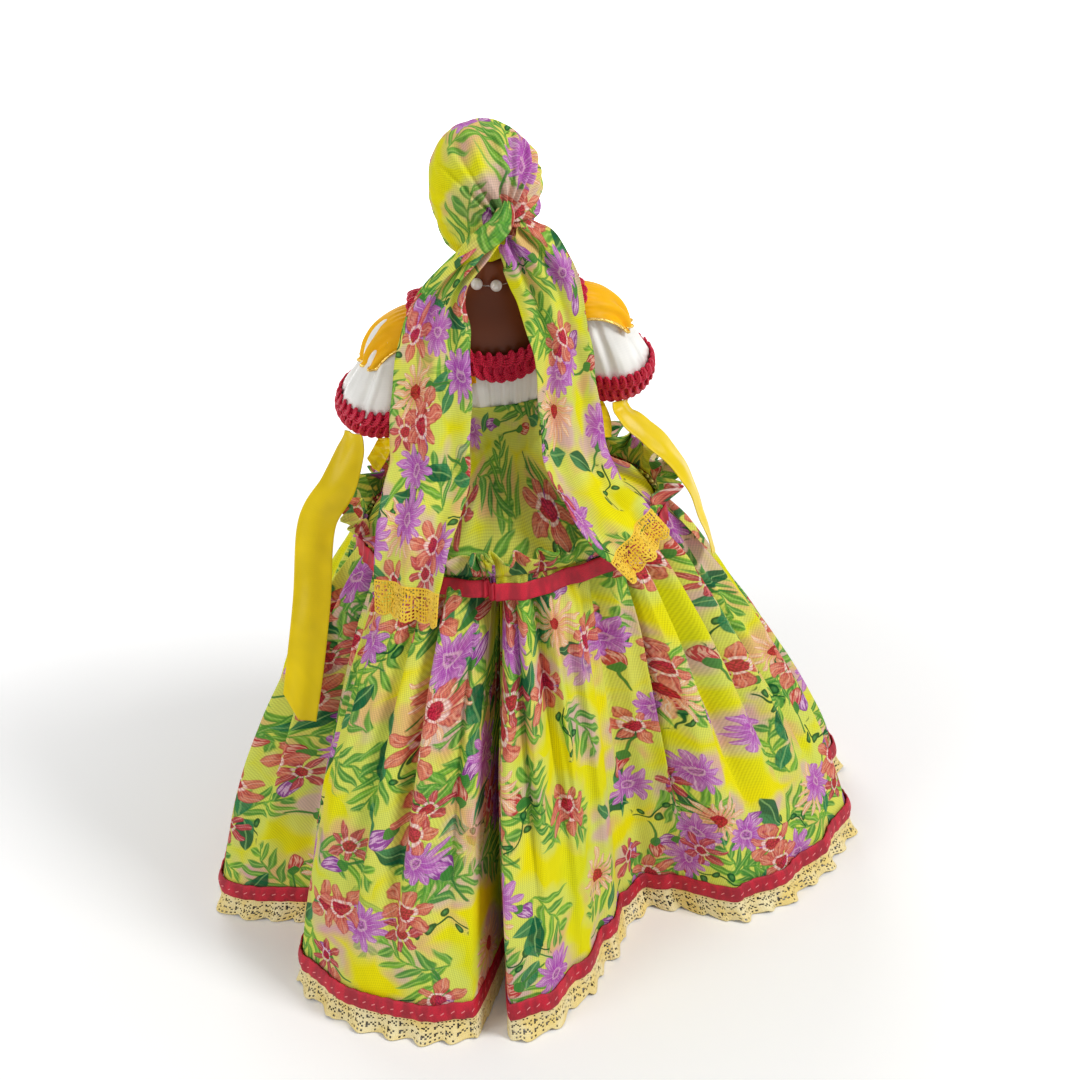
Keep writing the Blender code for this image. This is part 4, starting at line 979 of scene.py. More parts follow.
TORSO_LOW, TORSO_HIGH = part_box("torso")
SHOULDER = TORSO_HIGH.x
CHEST = 0.0160
TORSO_FOOT, NECK_TOP = 0.1480, 0.2877
TRUNK = (
    # height, half width of the shoulders, half depth of the chest, shift back
    (0.145, 0.189, 0.60, 0.00), (0.150, 0.780, 0.92, 0.00), (0.215, 0.856, 1.02, 0.04),
    (0.290, 0.755, 0.90, 0.04), (0.380, 0.604, 0.70, 0.00), (0.440, 0.592, 0.68, -0.03),
    (0.520, 0.690, 0.82, -0.08), (0.610, 0.800, 0.98, -0.12), (0.690, 0.880, 1.00, -0.10),
    (0.760, 0.950, 0.96, -0.04), (0.815, 0.995, 0.86, 0.00), (0.855, 1.000, 0.74, 0.02),
    (0.888, 0.880, 0.66, 0.04), (0.915, 0.640, 0.60, 0.05), (0.940, 0.365, 0.57, 0.05),
    (0.970, 0.302, 0.54, 0.06), (1.000, 0.292, 0.53, 0.06),
)
HEAD_FOOT, HEAD_TALL, HEAD_WIDE, HEAD_DEEP = 0.2881, 0.0502, 0.0196, 0.0212
SKULL = (
    (0.000, 0.50, 0.58, -0.20), (0.030, 0.60, 0.70, -0.22), (0.090, 0.72, 0.80, -0.16),
    (0.180, 0.82, 0.88, -0.09), (0.290, 0.91, 0.94, -0.04), (0.400, 0.97, 0.98, -0.01),
    (0.520, 1.00, 1.00, 0.01), (0.640, 0.985, 0.99, 0.02), (0.750, 0.91, 0.92, 0.03),
    (0.850, 0.77, 0.79, 0.04), (0.930, 0.57, 0.59, 0.04), (0.980, 0.33, 0.35, 0.04),
    (1.000, 0.10, 0.11, 0.04),
)


def softly(rows, x, reach):
    """A table read a little below, at and above x, so that its corners come out round."""
    low, here, high = (table_at(rows, x + d) for d in (-reach, 0.0, reach))
    return [(a + 2 * b + c) / 4 for a, b, c in zip(low, here, high)]


def oval(angle, wide, deep, squareness=2.0):
    across, along = cos(angle), sin(angle)
    return Vector((wide * copysign(abs(across) ** (2 / squareness), across),
                   deep * copysign(abs(along) ** (2 / squareness), along), 0.0))


def torso_point(angle, z):
    wide, deep, back = softly(TRUNK, (z - TORSO_FOOT) / (NECK_TOP - TORSO_FOOT), 0.022)
    return oval(angle, wide * SHOULDER, deep * CHEST, 2.3) + Vector((0.0, back * CHEST, z))


def head_point(angle, z):
    wide, deep, back = softly(SKULL, (z - HEAD_FOOT) / HEAD_TALL, 0.02)
    return oval(angle, wide * HEAD_WIDE, deep * HEAD_DEEP) + Vector((0.0, back * HEAD_DEEP, z))


def lifted(form, angle, z, offset):
    """A point that lies a little off a form, along the form's own normal."""
    across = form(angle + 0.02, z) - form(angle - 0.02, z)
    upward = form(angle, z + 0.0008) - form(angle, z - 0.0008)
    return form(angle, z) + across.cross(upward).normalized() * offset


print("shoulders", round(SHOULDER * 2000, 1), "mm wide")

# %% [markdown]
# ## The bodice
# The print bodice is snug from the bust to the waist and then flares like a small peplum to the
# hip seam. Tight cotton creases where the body narrows: short crossing folds at the waist, and
# soft hanging ones on the flare.

# %% The bodice

BODICE_TOP, WAIST_Z, SEAM_FOOT, BODICE_TALL = 0.2285, 0.2040, 0.1665, 0.062
FLARE = ((0.0, 1.00), (0.16, 0.88), (0.38, 0.60), (0.60, 0.32), (0.82, 0.10), (1.0, 0.0))


def bodice_form(angle, z):
    on_body = 0.0016
    if z >= WAIST_Z:
        return lifted(torso_point, angle, z, on_body)
    waist = lifted(torso_point, angle, WAIST_Z, on_body)
    seam = oval(angle, 0.0600, 0.0520)
    spread = softly(FLARE, (z - SEAM_Z) / (WAIST_Z - SEAM_Z), 0.06)[0]
    return Vector((mix(waist.x, seam.x, spread), mix(waist.y, seam.y, spread), z))


def bodice_place(s, t):
    angle = TURN * s - pi / 2
    z = mix(SEAM_FOOT, BODICE_TOP, t)
    form = bodice_form(angle, z)
    flare = 1.0 - smooth(0.195, 0.206, z)
    hang = 0.0016 * fold_wave(s, 13, 2.0, 21.0) * flare * smooth(SEAM_Z, SEAM_Z + 0.006, z)
    side = cos(angle)
    slant = sin((z * 620.0) + 5.0 * side + 3.0 * ripple(angle * 2.0, z * 60.0, 3.0))
    crease = 0.00055 * slant * exp(-((z - 0.2075) / 0.008) ** 2)
    small = 0.00035 * ripple(angle * 9.0, z * 260.0, 5.0)
    out = Vector((cos(angle), sin(angle), 0.0))
    return form + out * (0.0006 + hang + crease + small)


def bodice_flat(s, t):
    reach = 0.235 - 0.068 * t
    turn = 1.55 * (s - 0.5)
    return (reach * sin(turn) + 0.31, -reach * cos(turn))


bodice = cut_cloth("bodice_cloth", 300, 60, bodice_place, bodice_flat, cotton, "torso",
                   closed=True, wall=0.0006, offset=-1.0, node="bodice")

# %% [markdown]
# The blouse shows only as a white band between the bodice and the braid. Its top is gathered, so
# fine upright pleats run down it.

# %% The blouse band and the collar

BLOUSE_TALL, COLLAR_TALL = 0.028, 0.011
BLOUSE_TOP = 0.2445


def blouse_place(s, t):
    angle = TURN * s - pi / 2
    top = BLOUSE_TOP + 0.0030 * cos(angle) ** 4
    z = mix(0.2172, top, t)
    pleat = 0.00016 * fold_wave(s, 61, 6.0, 12.0) + 0.0005 * fold_wave(s, 19, 5.0, 14.0)
    return lifted(torso_point, angle, z, 0.0010 + pleat)


blouse = cut_cloth("blouse_band", 320, 18, blouse_place, flat_sheet(0.19, BLOUSE_TALL),
                   white_satin, "torso", closed=True, wall=THIN, node="blouse")


def braid_edge(angle, share):
    """A place across the braid, which stands on back and chest and lies on the shoulders."""
    on_body = lifted(torso_point, angle, 0.2400 + share * 0.0120, 0.0018)
    back = smooth(-0.1, 0.5, sin(angle))
    wide = mix(0.0325, 0.0385, back)
    on_shoulder = oval(angle, wide - share * mix(0.0085, 0.0105, back), 0.0195, mix(2.4, 4.5, back))
    on_shoulder += Vector((0.0, -0.0010, 0.2730 + share * 0.0015))
    return on_body.lerp(on_shoulder, abs(cos(angle)) ** 2.2)


def make_collar(side, label):
    """Half of the gathered satin collar, from the back opening round to the arm."""
    def place(s, t):
        away = radians(mix(24, 66, s))
        angle = pi / 2 - side * away
        top = min(braid_edge(angle, 0.0).z, BLOUSE_TOP) + 0.0004
        foot = top - COLLAR_TALL * mix(0.35, 1.0, s ** 0.7)
        wave = sin(TURN * 6.5 * s + 1.0) * (1.0 - t)
        return lifted(torso_point, angle, mix(foot, top, t), 0.0022 + 0.0010 * wave)

    made = cut_cloth(label + "_collar_cloth", 90, 16, place, flat_sheet(0.04, COLLAR_TALL),
                     orange_satin, "torso", wall=THIN, node=label + "_collar")


for side, label in SIDES:
    make_collar(side, label)

# %% [markdown]
# ## Scroll braid
# The crimson trimming is scroll gimp: two wound cords run along it in loops, each with a smaller
# loop inside, over a narrow woven ground. A looping line is a point on a wheel that slips as it
# rolls. Each cord is a thin tube along that line, laid on whatever the braid is sewn to.

# %% Scroll braid on a surface

LOOP_LONG = 0.004


def lay_cord(bm, uv, path, radius, sides=6, steps=400):
    """A thin tube along path(share), flattened a little where it lies on its ground."""
    points = [path(k / steps) for k in range(steps + 1)]
    places, normals = zip(*points)

    def tube(s, t):
        k = int(round(s * steps))
        ahead = places[min(k + 1, steps)] - places[max(k - 1, 0)]
        across = ahead.cross(normals[k]).normalized()
        turn = TURN * t
        return (places[k] + across * (radius * cos(turn))
                + normals[k] * (radius * 0.85 * sin(turn)))

    length = sum((b - a).length for a, b in zip(places, places[1:]))
    lay_grid(bm, uv, steps, sides, tube, lambda s, t: (s * length, t * TURN * radius))


def scroll_braid(name, surface, wide, loops, body, node):
    """Scroll braid on surface(s, across, lift): s goes along it and across from 0 to 1."""
    bm, uv = new_cloth()
    lay_grid(bm, uv, loops * 6, 6, lambda s, t: surface(s, mix(0.10, 0.90, t), 0.0003),
             lambda s, t: (s * loops * LOOP_LONG, t * wide))

    def looped(edge, reach, radius, lift):
        def path(share):
            turn = TURN * loops * share
            along = share + edge * reach * 1.30 * sin(turn) / loops
            across = 0.5 + edge * (0.27 - reach * 0.80 * cos(turn))
            high = lift + 0.00040 * sin(turn)
            here = surface(along, across, high)
            above = surface(along, across, high + 0.001)
            return here, (above - here).normalized()
        lay_cord(bm, uv, path, radius, steps=loops * 18)

    for edge in (-1.0, 1.0):
        looped(edge, 0.31, 0.00066, 0.0010)
        looped(edge, 0.19, 0.00058, 0.0008)
        looped(edge, 0.08, 0.00055, 0.0007)
    bmesh.ops.remove_doubles(bm, verts=bm.verts, dist=MERGE)
    return make_piece(name, bm, gimp, body, node=node)


def neckline_surface(s, across, lift):
    angle = TURN * s - pi / 2
    along = braid_edge(angle + 0.03, across) - braid_edge(angle - 0.03, across)
    over = braid_edge(angle, 1.0) - braid_edge(angle, 0.0)
    return braid_edge(angle, across) + along.cross(over).normalized() * lift


neck_braid = scroll_braid("neckline_scroll", neckline_surface, 0.012, 52, "torso",
                          "neckline_braid")
print("neckline braid faces:", len(neck_braid.data.polygons))

# %% [markdown]
# ## Puffed sleeves
# A sleeve is a tube that bends over the shoulder with the arm and widens to its mouth. It puffs
# out on the outer side only, because the inner side lies against the body. Gathers run in from
# both ends, and satin shows each one as a streak of light.

# %% Sleeves and cuffs

BEND = 0.0095
SLEEVE_MOUTH = (0.0480, -0.0130, 0.2240)
SLEEVE_LEAN = radians(24)
SLEEVE_LONG, CUFF_TOP = 0.055, 0.79


def sleeve_frame(side, share):
    """Centre, outward and back directions of the sleeve, from shoulder, 0, to mouth, 1."""
    start = Vector((side * (SHOULDER + 0.0009), -0.0010, 0.2600))
    if share <= 0.5:
        turn = pi * share
        centre = start + Vector((side * BEND * sin(turn), 0.0,
                                 -BEND * (1.0 - cos(turn))))
        return centre, Vector((side * sin(turn), 0.0, cos(turn))), Vector((0, 1, 0))
    top = start + Vector((side * BEND, 0.0, -BEND))
    mouth = Vector((side * SLEEVE_MOUTH[0], SLEEVE_MOUTH[1], SLEEVE_MOUTH[2]))
    down = 2.0 * share - 1.0
    lean = SLEEVE_LEAN * down
    ease = Vector((0.0, -(mouth.y - top.y) * down * (1.0 - down), 0.0))
    return (top.lerp(mouth, down) + ease, Vector((float(side), 0, 0)),
            Vector((0.0, cos(lean), -sin(lean))))


def sleeve_point(side, share, turn, offset):
    centre, outward, back = sleeve_frame(side, share)
    near = mix(0.0075, 0.0150, max(0.0, 2.0 * share - 1.0))
    swell = max(0.0, sin(pi * clamp(share) ** 1.7)) ** 0.8
    radius = near + 0.006 * swell * 0.5 * (1.0 + cos(turn)) + offset
    return centre + (outward * cos(turn) + back * sin(turn)) * radius


def make_sleeve(side, label):
    body = label + "_arm"

    def place(s, t):
        turn = TURN * s
        ends = exp(-t / 0.16) + exp(-(1.0 - t) / 0.22)
        pleat = 0.0005 * fold_wave(s, 16, 3.0, 31.0 + side) * ends
        soft = 0.0008 * fold_wave(s, 7, 2.0, 35.0 + side) * sin(pi * t)
        dent = 0.0006 * ripple(s * 7.0, t * 5.0, 2.0 * side)
        return sleeve_point(side, t, turn, 0.0006 + pleat + soft + dent)

    sleeve = cut_cloth(label + "_sleeve_cloth", 200, 70, place,
                       flat_sheet(0.11, SLEEVE_LONG), white_satin, body, closed=True,
                       wall=MEDIUM, offset=-1.0, node=label + "_sleeve")

    def cuff_surface(s, across, lift):
        share = mix(1.0, CUFF_TOP, across)
        return sleeve_point(side, share, side * TURN * s, 0.0013 + lift)

    scroll_braid(label + "_cuff_scroll", cuff_surface, 0.008, 34, body,
                 label + "_cuff_braid")


for side, label in SIDES:
    make_sleeve(side, label)

# %% [markdown]
# Over each shoulder lies a gathered flounce of orange satin, edged with gilt. Its inner edge is
# gathered under the braid and its outer edge ripples freely.

# %% Shoulder flounces


def make_gilt():
    made, shader, n = new_material("gilt glitter", "orange_satin", 0.32, Metallic=0.85)
    cloth = cloth_map(n)
    grains = n.node("ShaderNodeTexVoronoi", {"Vector": cloth, "Scale": 3200.0}, 1)
    spark = n.parts(grains)[0]
    # Each flake gets a random gold tone; the palest flakes are painted glints.
    base = n.blend(spark, colour(168, 110, 20), colour(255, 226, 130))
    finish_material(n, shader, base, spark, 0.8, 0.0003)
    return made


gilt = make_gilt()


def make_flounce(side, label):
    spread = radians(112)

    def flounce_point(s, t, lift):
        t = clamp(t)
        down = t * 0.52
        narrow = 1.0 - 0.62 * t ** 1.4
        turn = spread * narrow * (2.0 * s - 1.0)
        wave = sin(TURN * 4.2 * s + 0.8 * side + 2.0 * t)
        ruffle = 0.0011 * wave * smooth(0.25, 1.0, t)
        ruffle += 0.00022 * sin(TURN * 17 * s) * (1.0 - smooth(0.0, 0.5, t))
        ruffle += 0.0006 * ripple(s * 6.0, t * 4.0, 3.0 * side)
        edge = abs(2.0 * s - 1.0) ** 6
        return sleeve_point(side, down, turn, 0.0018 + ruffle + 0.0008 * edge + lift)

    flounce = cut_cloth(label + "_flounce_cloth", 140, 50,
                        lambda s, t: flounce_point(s, t, 0.0),
                        flat_sheet(0.075, 0.035), orange_satin, label + "_arm",
                        wall=THIN, node=label + "_flounce")

    def edge_path(share):
        if share < 0.3:
            s, t = 0.0, share / 0.3
        elif share < 0.7:
            s, t = (share - 0.3) / 0.4, 1.0
        else:
            s, t = 1.0, 1.0 - (share - 0.7) / 0.3
        here = flounce_point(s, t, 0.0001)
        return here, (flounce_point(s, t, 0.001) - here).normalized()

    bm, uv = new_cloth()
    lay_cord(bm, uv, edge_path, 0.0006, steps=300)
    make_piece(label + "_gilt_edge", bm, gilt, label + "_arm")


for side, label in SIDES:
    make_flounce(side, label)

# %% [markdown]
# ## Strips that hang
# The scarf's tails and the cuff ribbons are strips. Each has a route of a few stops: where its
# middle passes, how wide it is and how far it turns outward. A smooth curve through the stops is
# measured along its length, so the print isn't stretched.

# %% A smooth route for a strip


class Route:
    """A smooth way through stops of (place, width share, turn), read by share of its length."""

    def __init__(self, stops, fine=14):
        rows = [[*place, width, turn] for place, width, turn in stops]
        first = [2 * a - b for a, b in zip(rows[0], rows[1])]
        last = [2 * a - b for a, b in zip(rows[-1], rows[-2])]
        rows = [first, *rows, last]
        self.points = []
        for i in range(1, len(rows) - 2):
            for k in range(fine):
                self.points.append(self.curve(rows[i - 1:i + 3], k / fine))
        self.points.append(rows[-2])
        self.far = [0.0]
        for a, b in zip(self.points, self.points[1:]):
            self.far.append(self.far[-1] + (Vector(b[:3]) - Vector(a[:3])).length)
        self.length = self.far[-1]

    @staticmethod
    def curve(four, t):
        return [0.5 * (2 * b + (c - a) * t + (2 * a - 5 * b + 4 * c - d) * t ** 2
                       + (3 * b - a - 3 * c + d) * t ** 3) for a, b, c, d in zip(*four)]

    def row(self, share):
        goal = clamp(share) * self.length
        low = 0
        while low < len(self.far) - 2 and self.far[low + 1] < goal:
            low += 1
        step = (goal - self.far[low]) / (self.far[low + 1] - self.far[low])
        return [mix(a, b, step) for a, b in zip(self.points[low], self.points[low + 1])]

    def at(self, share):
        """Centre, across, outward, width share at a share of the length."""
        x, y, z, width, turn = self.row(share)
        ahead = Vector(self.row(share + 0.01)[:3]) - Vector(self.row(share - 0.01)[:3])
        outward = Vector((sin(turn), cos(turn), 0.0))
        across = ahead.normalized().cross(outward).normalized()
        return Vector((x, y, z)), across, across.cross(ahead).normalized(), width


# %% [markdown]
# ## The scarf's tails
# Each tail leaves the knot in tight pleats that open on the way down, and ends in yellow lace.
# The lace is an open net, so it is a fine grid with many of its cells cut out.

# %% The tails and their lace

TAIL_HALF = 0.0170
LEFT_TAIL = (
    # across, of the seam's half width; back, of its half depth; height between the seam and
    # the knot; width; turn outward
    (0.060, 0.500, 1.020, 0.30, 0.00), (0.130, 0.505, 0.985, 0.31, 0.00),
    (0.225, 0.503, 0.944, 0.34, 0.02), (0.310, 0.500, 0.905, 0.40, 0.04),
    (0.372, 0.498, 0.866, 0.50, 0.05), (0.418, 0.500, 0.823, 0.62, 0.08),
    (0.450, 0.506, 0.773, 0.74, 0.10), (0.473, 0.510, 0.710, 0.80, 0.14),
    (0.498, 0.520, 0.640, 0.86, 0.20), (0.528, 0.530, 0.546, 0.91, 0.25),
    (0.565, 0.577, 0.420, 0.93, 0.30), (0.600, 0.635, 0.318, 0.95, 0.40),
    (0.680, 0.748, 0.232, 0.98, 0.55), (0.770, 0.871, 0.161, 1.00, 0.70),
    (0.830, 0.960, 0.090, 0.98, 0.75), (0.860, 1.010, 0.020, 0.94, 0.80),
)
RIGHT_TAIL = (
    (0.100, 0.485, 1.020, 0.44, 0.00), (0.150, 0.488, 0.985, 0.58, 0.00),
    (0.200, 0.489, 0.950, 0.70, 0.02), (0.250, 0.490, 0.885, 0.76, 0.05),
    (0.287, 0.494, 0.832, 0.76, 0.06), (0.306, 0.500, 0.785, 0.75, 0.08),
    (0.324, 0.508, 0.718, 0.72, 0.12), (0.337, 0.519, 0.647, 0.71, 0.20),
    (0.348, 0.529, 0.546, 0.73, 0.20), (0.356, 0.577, 0.420, 0.77, 0.20),
    (0.355, 0.663, 0.318, 0.82, 0.25), (0.385, 0.808, 0.247, 0.86, 0.35),
    (0.440, 0.981, 0.196, 0.90, 0.50), (0.520, 1.106, 0.149, 0.90, 0.60),
    (0.600, 1.135, 0.098, 0.84, 0.65),
)
TAIL_TOP, TAIL_CUT, LACE_DEEP = 0.3009, 0.045, 0.0130


def tail_stops(side, rows):
    return [(Vector((side * across * 0.0600, back * 0.0520, mix(SEAM_Z, TAIL_TOP, up))), width,
             side * turn) for across, back, up, width, turn in rows]


def make_tail(side, label, rows):
    route = Route(tail_stops(side, rows))
    whole = route.length

    def cloth_point(p, share):
        """p runs across from -1 to 1."""
        centre, across, outward, width = route.at(share)
        tight = 1.0 - smooth(0.0, 0.55, share)
        pleats = cos(pi * 3.0 * p + 0.6 * side) * mix(0.0014, 0.0030, tight)
        broad = cos(pi * 2.0 * p + 0.3 * sin(5 * share)) * 0.0020
        fold = mix(broad, pleats, tight)
        puff = 0.0032 * exp(-((share - 0.10) / 0.08) ** 2) * (1.0 - p * p)
        crease = 0.0007 * ripple(p * 2.2 + 9 * side, share * 11.0, 4.0)
        lean = 0.0012 * ripple(share * 6.0, 3.0 * side)
        reach = p * TAIL_HALF * width * (1.0 + 0.03 * ripple(share * 9.0, p, side))
        return centre + across * (reach + lean) + outward * (
            fold * (1.0 - 0.4 * p * p) + puff + crease)

    def flat(s, t):
        return (s * 0.052 + 0.9 * side + 1.0, t * whole)

    tail = cut_cloth("scarf_tail_%s_cloth" % label, 56, 150,
                     lambda s, t: cloth_point(2 * s - 1, 1.0 - t), flat, cotton, None,
                     wall=MEDIUM, node="scarf_tail_" + label)
    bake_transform(tail)

    centre, across, outward, width = route.at(1.0)
    ahead = (centre - route.at(0.97)[0]).normalized()
    columns, deep = 57, 19

    def lace_place(s, t):
        p = 2 * s - 1
        start = cloth_point(p, 1.0)
        scallop = 0.0016 * abs(sin(pi * 5 * s)) * (1.0 - t)
        down = (1.0 - t) * LACE_DEEP + scallop
        wave = 0.0010 * sin(9.0 * s + 2.0 * side) * (1.0 - t)
        jitter = Vector((ripple(s * 60, t * 20), ripple(s * 60, t * 20, 5.0),
                         ripple(s * 60, t * 20, 9.0))) * 0.00045
        return start + ahead * down + outward * wave + jitter * smooth(0.0, 0.1, 1.0 - t)

    def lace_face(s, t):
        column, row = int(s * columns), int(t * deep)
        if row in (0, deep - 1) or column in (0, columns - 1):
            return True
        if (column % 10) in (0, 1) and row % 6 in (2, 3):
            return True
        return not (column % 2 == 1 and row % 2 == 1) and ripple(column * 0.9, row * 0.8) > -0.35

    lace = cut_cloth("scarf_lace_%s_net" % label, columns, deep, lace_place,
                     flat_sheet(0.034, LACE_DEEP), scarf_lace_thread, "torso",
                     wall=MEDIUM, node="scarf_lace_" + label, keep_face=lace_face)


for (side, label), rows in zip(SIDES, (LEFT_TAIL, RIGHT_TAIL)):
    make_tail(side, label, rows)

# %% [markdown]
# ## Cuff ribbons
# A bow's loose ends hang from each cuff: one long and one short. Satin ribbon keeps its width,
# curls slightly along its edges and is cut on the slant, so that it doesn't fray.

# %% Ribbons

RIBBON_HALF = 0.0078
RIBBONS = (
    # side, node, where round the cuff in degrees, curl, slant of the cut, stops
    (1, "left_ribbon", 38, 0.0005, 0.010, (
        (0.000, 0.000, 0.009, 0.60, 0.90), (0.001, 0.001, 0.020, 0.66, 0.84),
        (0.016, 0.010, 0.046, 0.80, 0.66), (0.063, 0.032, 0.104, 0.95, 0.42),
        (0.133, 0.036, 0.175, 1.00, 0.30), (0.179, 0.103, 0.309, 1.00, 0.25),
        (0.229, 0.163, 0.434, 1.00, 0.20), (0.266, 0.203, 0.519, 0.95, 0.20))),
    (1, "left_ribbon_tie", 85, 0.0003, 0.002, (
        (0.000, 0.000, 0.004, 0.35, 0.30), (0.002, 0.006, 0.012, 0.40, 0.30),
        (0.019, 0.026, 0.026, 0.45, 0.30), (0.046, 0.046, 0.044, 0.45, 0.30))),
    (-1, "right_ribbon", 88, 0.0006, -0.008, (
        (0.000, 0.000, 0.003, 0.60, 0.60), (0.001, 0.006, 0.016, 0.66, 0.70),
        (0.020, 0.026, 0.034, 0.76, 0.85), (0.057, 0.043, 0.060, 0.80, 0.95),
        (0.110, 0.060, 0.100, 0.84, 1.00), (0.160, 0.090, 0.160, 0.86, 1.10),
        (0.190, 0.130, 0.238, 0.86, 1.20), (0.203, 0.170, 0.296, 0.84, 1.25))),
    (-1, "right_ribbon_tie", 126, 0.0003, 0.004, (
        (0.000, 0.000, 0.008, 0.50, -0.60), (-0.001, 0.004, 0.018, 0.62, -0.50),
        (-0.007, 0.030, 0.040, 0.85, -0.20), (-0.011, 0.050, 0.068, 0.85, 0.00))),
)


def make_ribbon(side, node, bearing, curl, slant, rows):
    label = node.split("_")[0]
    rim = sleeve_point(side, 1.0, radians(bearing), 0.0020)
    stops = [(rim + Vector((side * out * HEM_REACH, back * HEM_REACH, -down * rim.z)), width,
              side * turn) for out, back, down, width, turn in rows]
    route = Route(stops)

    def place(s, t):
        p = 2 * s - 1
        share = clamp(1.0 - t - slant * p / route.length * smooth(0.6, 1.0, 1.0 - t))
        centre, across, outward, width = route.at(share)
        roll = curl * cos(pi * p) * (1.0 - 0.4 * p * p)
        wave = 0.0006 * ripple(share * 7.0, p * 1.2, 6.0 * side)
        return centre + across * (p * RIBBON_HALF * width) + outward * (roll + wave)

    ribbon = cut_cloth(node + "_satin", 16, 110, place,
                       flat_sheet(2 * RIBBON_HALF, route.length), yellow_satin,
                       label + "_arm", wall=THIN, node=node)
    label + "_sleeve"


for row in RIBBONS:
    make_ribbon(*row)

# %% [markdown]
# ## The headscarf
# The scarf is drawn over the head and pulled together at the nape. Its folds are rays that leave
# the gather point, so we measure each point of the head by its bearing from that point, like a
# compass, and by how far away it lies. A fold is a bump at one bearing that grows and fades.

# %% The wrapped scarf

HEAD_MIDDLE = Vector((0.0, 0.0005, 0.3130))
GATHER = Vector((-0.0028, 0.0240, 0.3075))
TO_GATHER = (GATHER - HEAD_MIDDLE).normalized()
SIDEWAYS = Vector((0.0, 0.0, 1.0)).cross(TO_GATHER).normalized()
UPWARD = TO_GATHER.cross(SIDEWAYS)
SCARF_SHIFT, SCARF_CUT, HEAD_RADIUS = (0.62, 0.41), 0.150, 0.0235
SCARF_FOLDS = (
    # bearing in degrees from straight up towards the doll's left, width, height, near, far
    (-66, 5.0, 0.0012, 10, 95), (-50, 4.0, 0.0020, 8, 100), (-34, 5.0, 0.0022, 6, 100),
    (-14, 8.0, 0.0036, 6, 104), (8, 5.0, 0.0030, 6, 96), (24, 4.0, 0.0026, 6, 104),
    (38, 3.0, 0.0022, 6, 98),
    (52, 4.0, 0.0022, 6, 104), (66, 4.0, 0.0022, 6, 92), (84, 5.0, 0.0018, 8, 100),
    (106, 6.0, 0.0018, 6, 86), (-84, 5.0, 0.0009, 6, 104), (-104, 5.0, 0.0008, 8, 90),
    (128, 7.0, 0.0015, 6, 60), (-128, 7.0, 0.0015, 6, 60),
)


def compass(point):
    """Bearing and distance, in degrees, of a point of the head from the gather point."""
    ray = (point - HEAD_MIDDLE).normalized()
    bearing = degrees(atan2(ray.dot(SIDEWAYS), ray.dot(UPWARD)))
    return bearing, degrees(acos(clamp(ray.dot(TO_GATHER), -1.0, 1.0)))


def scarf_relief(bearing, away):
    total = 0.0
    for middle, width, height, near, far in SCARF_FOLDS:
        gap = (bearing - middle + 180.0) % 360.0 - 180.0
        gap += 6.0 * ripple(away * 0.03, middle)
        shape = exp(-abs(gap / width) ** 2.6)
        total += height * shape * smooth(near * 0.3, near + 8.0, away) * (
            1.0 - smooth(far * 0.72, far, away))
    fine = cos(radians(bearing) * 19 + 2.0 * ripple(away * 0.05, 4.0))
    total += 0.0008 * fine * exp(-away / 40.0) * smooth(2.0, 8.0, away)
    return total


def wrap_rim(angle):
    facing = -sin(angle)
    if facing < 0.0:
        return mix(0.135, 0.060, -facing)
    return mix(0.135, 0.720, facing ** 1.6)


def wrap_place(s, t):
    angle = TURN * s - pi / 2
    share = mix(wrap_rim(angle), 0.998, t ** 0.8)
    z = HEAD_FOOT + HEAD_TALL * share
    skull = lifted(head_point, angle, z, 0.0011)
    if t > 0.9999:
        skull = Vector((0.0, 0.04 * HEAD_DEEP, HEAD_FOOT + HEAD_TALL + 0.0011))
    bearing, away = compass(skull)
    out = (skull - HEAD_MIDDLE).normalized()
    hem = 0.0009 * exp(-t / 0.02)
    soft = 0.0005 * ripple(out.x * 4.0, out.y * 4.0, out.z * 4.0)
    return skull + out * (0.0004 + scarf_relief(bearing, away) + hem + soft)


def wrap_flat(s, t):
    angle = TURN * s - pi / 2
    share = mix(wrap_rim(angle), 0.998, t ** 0.8)
    skull = head_point(angle, HEAD_FOOT + HEAD_TALL * share)
    bearing, away = compass(skull)
    reach = radians(away) * HEAD_RADIUS
    turn = radians(bearing)
    return (reach * sin(turn) + SCARF_SHIFT[0], reach * cos(turn) + SCARF_SHIFT[1])


wrap = cut_cloth("headscarf", 288, 120, wrap_place, wrap_flat, cotton, "head", closed=True,
                 wall=MEDIUM, offset=-1.0, node="head_wrap")

# %% [markdown]
# The knot is one roll of the scarf drawn across the other. A short fat tube, thicker in its
# middle and pleated along its length, wraps over the gather point.

# %% The knot


def make_knot():
    stops = (Vector((0.0165, 0.0245, 0.2940)), Vector((0.0115, 0.0262, 0.2985)),
             Vector((0.0060, 0.0278, 0.3030)), Vector((0.0005, 0.0283, 0.3070)),
             Vector((-0.0028, 0.0262, 0.3110)), Vector((-0.0042, 0.0225, 0.3150)))
    route = Route([(place, 1.0, 0.0) for place in stops])
    bm, uv = new_cloth()

    def place(s, t):
        centre, across, outward, _ = route.at(s)
        turn = TURN * t
        thick = 0.0016 + 0.0024 * sin(pi * s) ** 0.6
        thick *= 1.0 + 0.13 * cos(5 * turn + 3.0 * s)
        return centre + (across * cos(turn) * 1.1 + outward * sin(turn)) * thick

    lay_grid(bm, uv, 48, 40, place, flat_sheet(0.024, 0.020, 0.3, 0.7))
    bmesh.ops.remove_doubles(bm, verts=bm.verts, dist=MERGE)
    ends = [e for e in bm.edges if e.is_boundary]
    bmesh.ops.holes_fill(bm, edges=ends)
    bmesh.ops.recalc_face_normals(bm, faces=bm.faces)
    make_piece("scarf_knot_roll", bm, cotton, "head", node="scarf_knot")


make_knot()

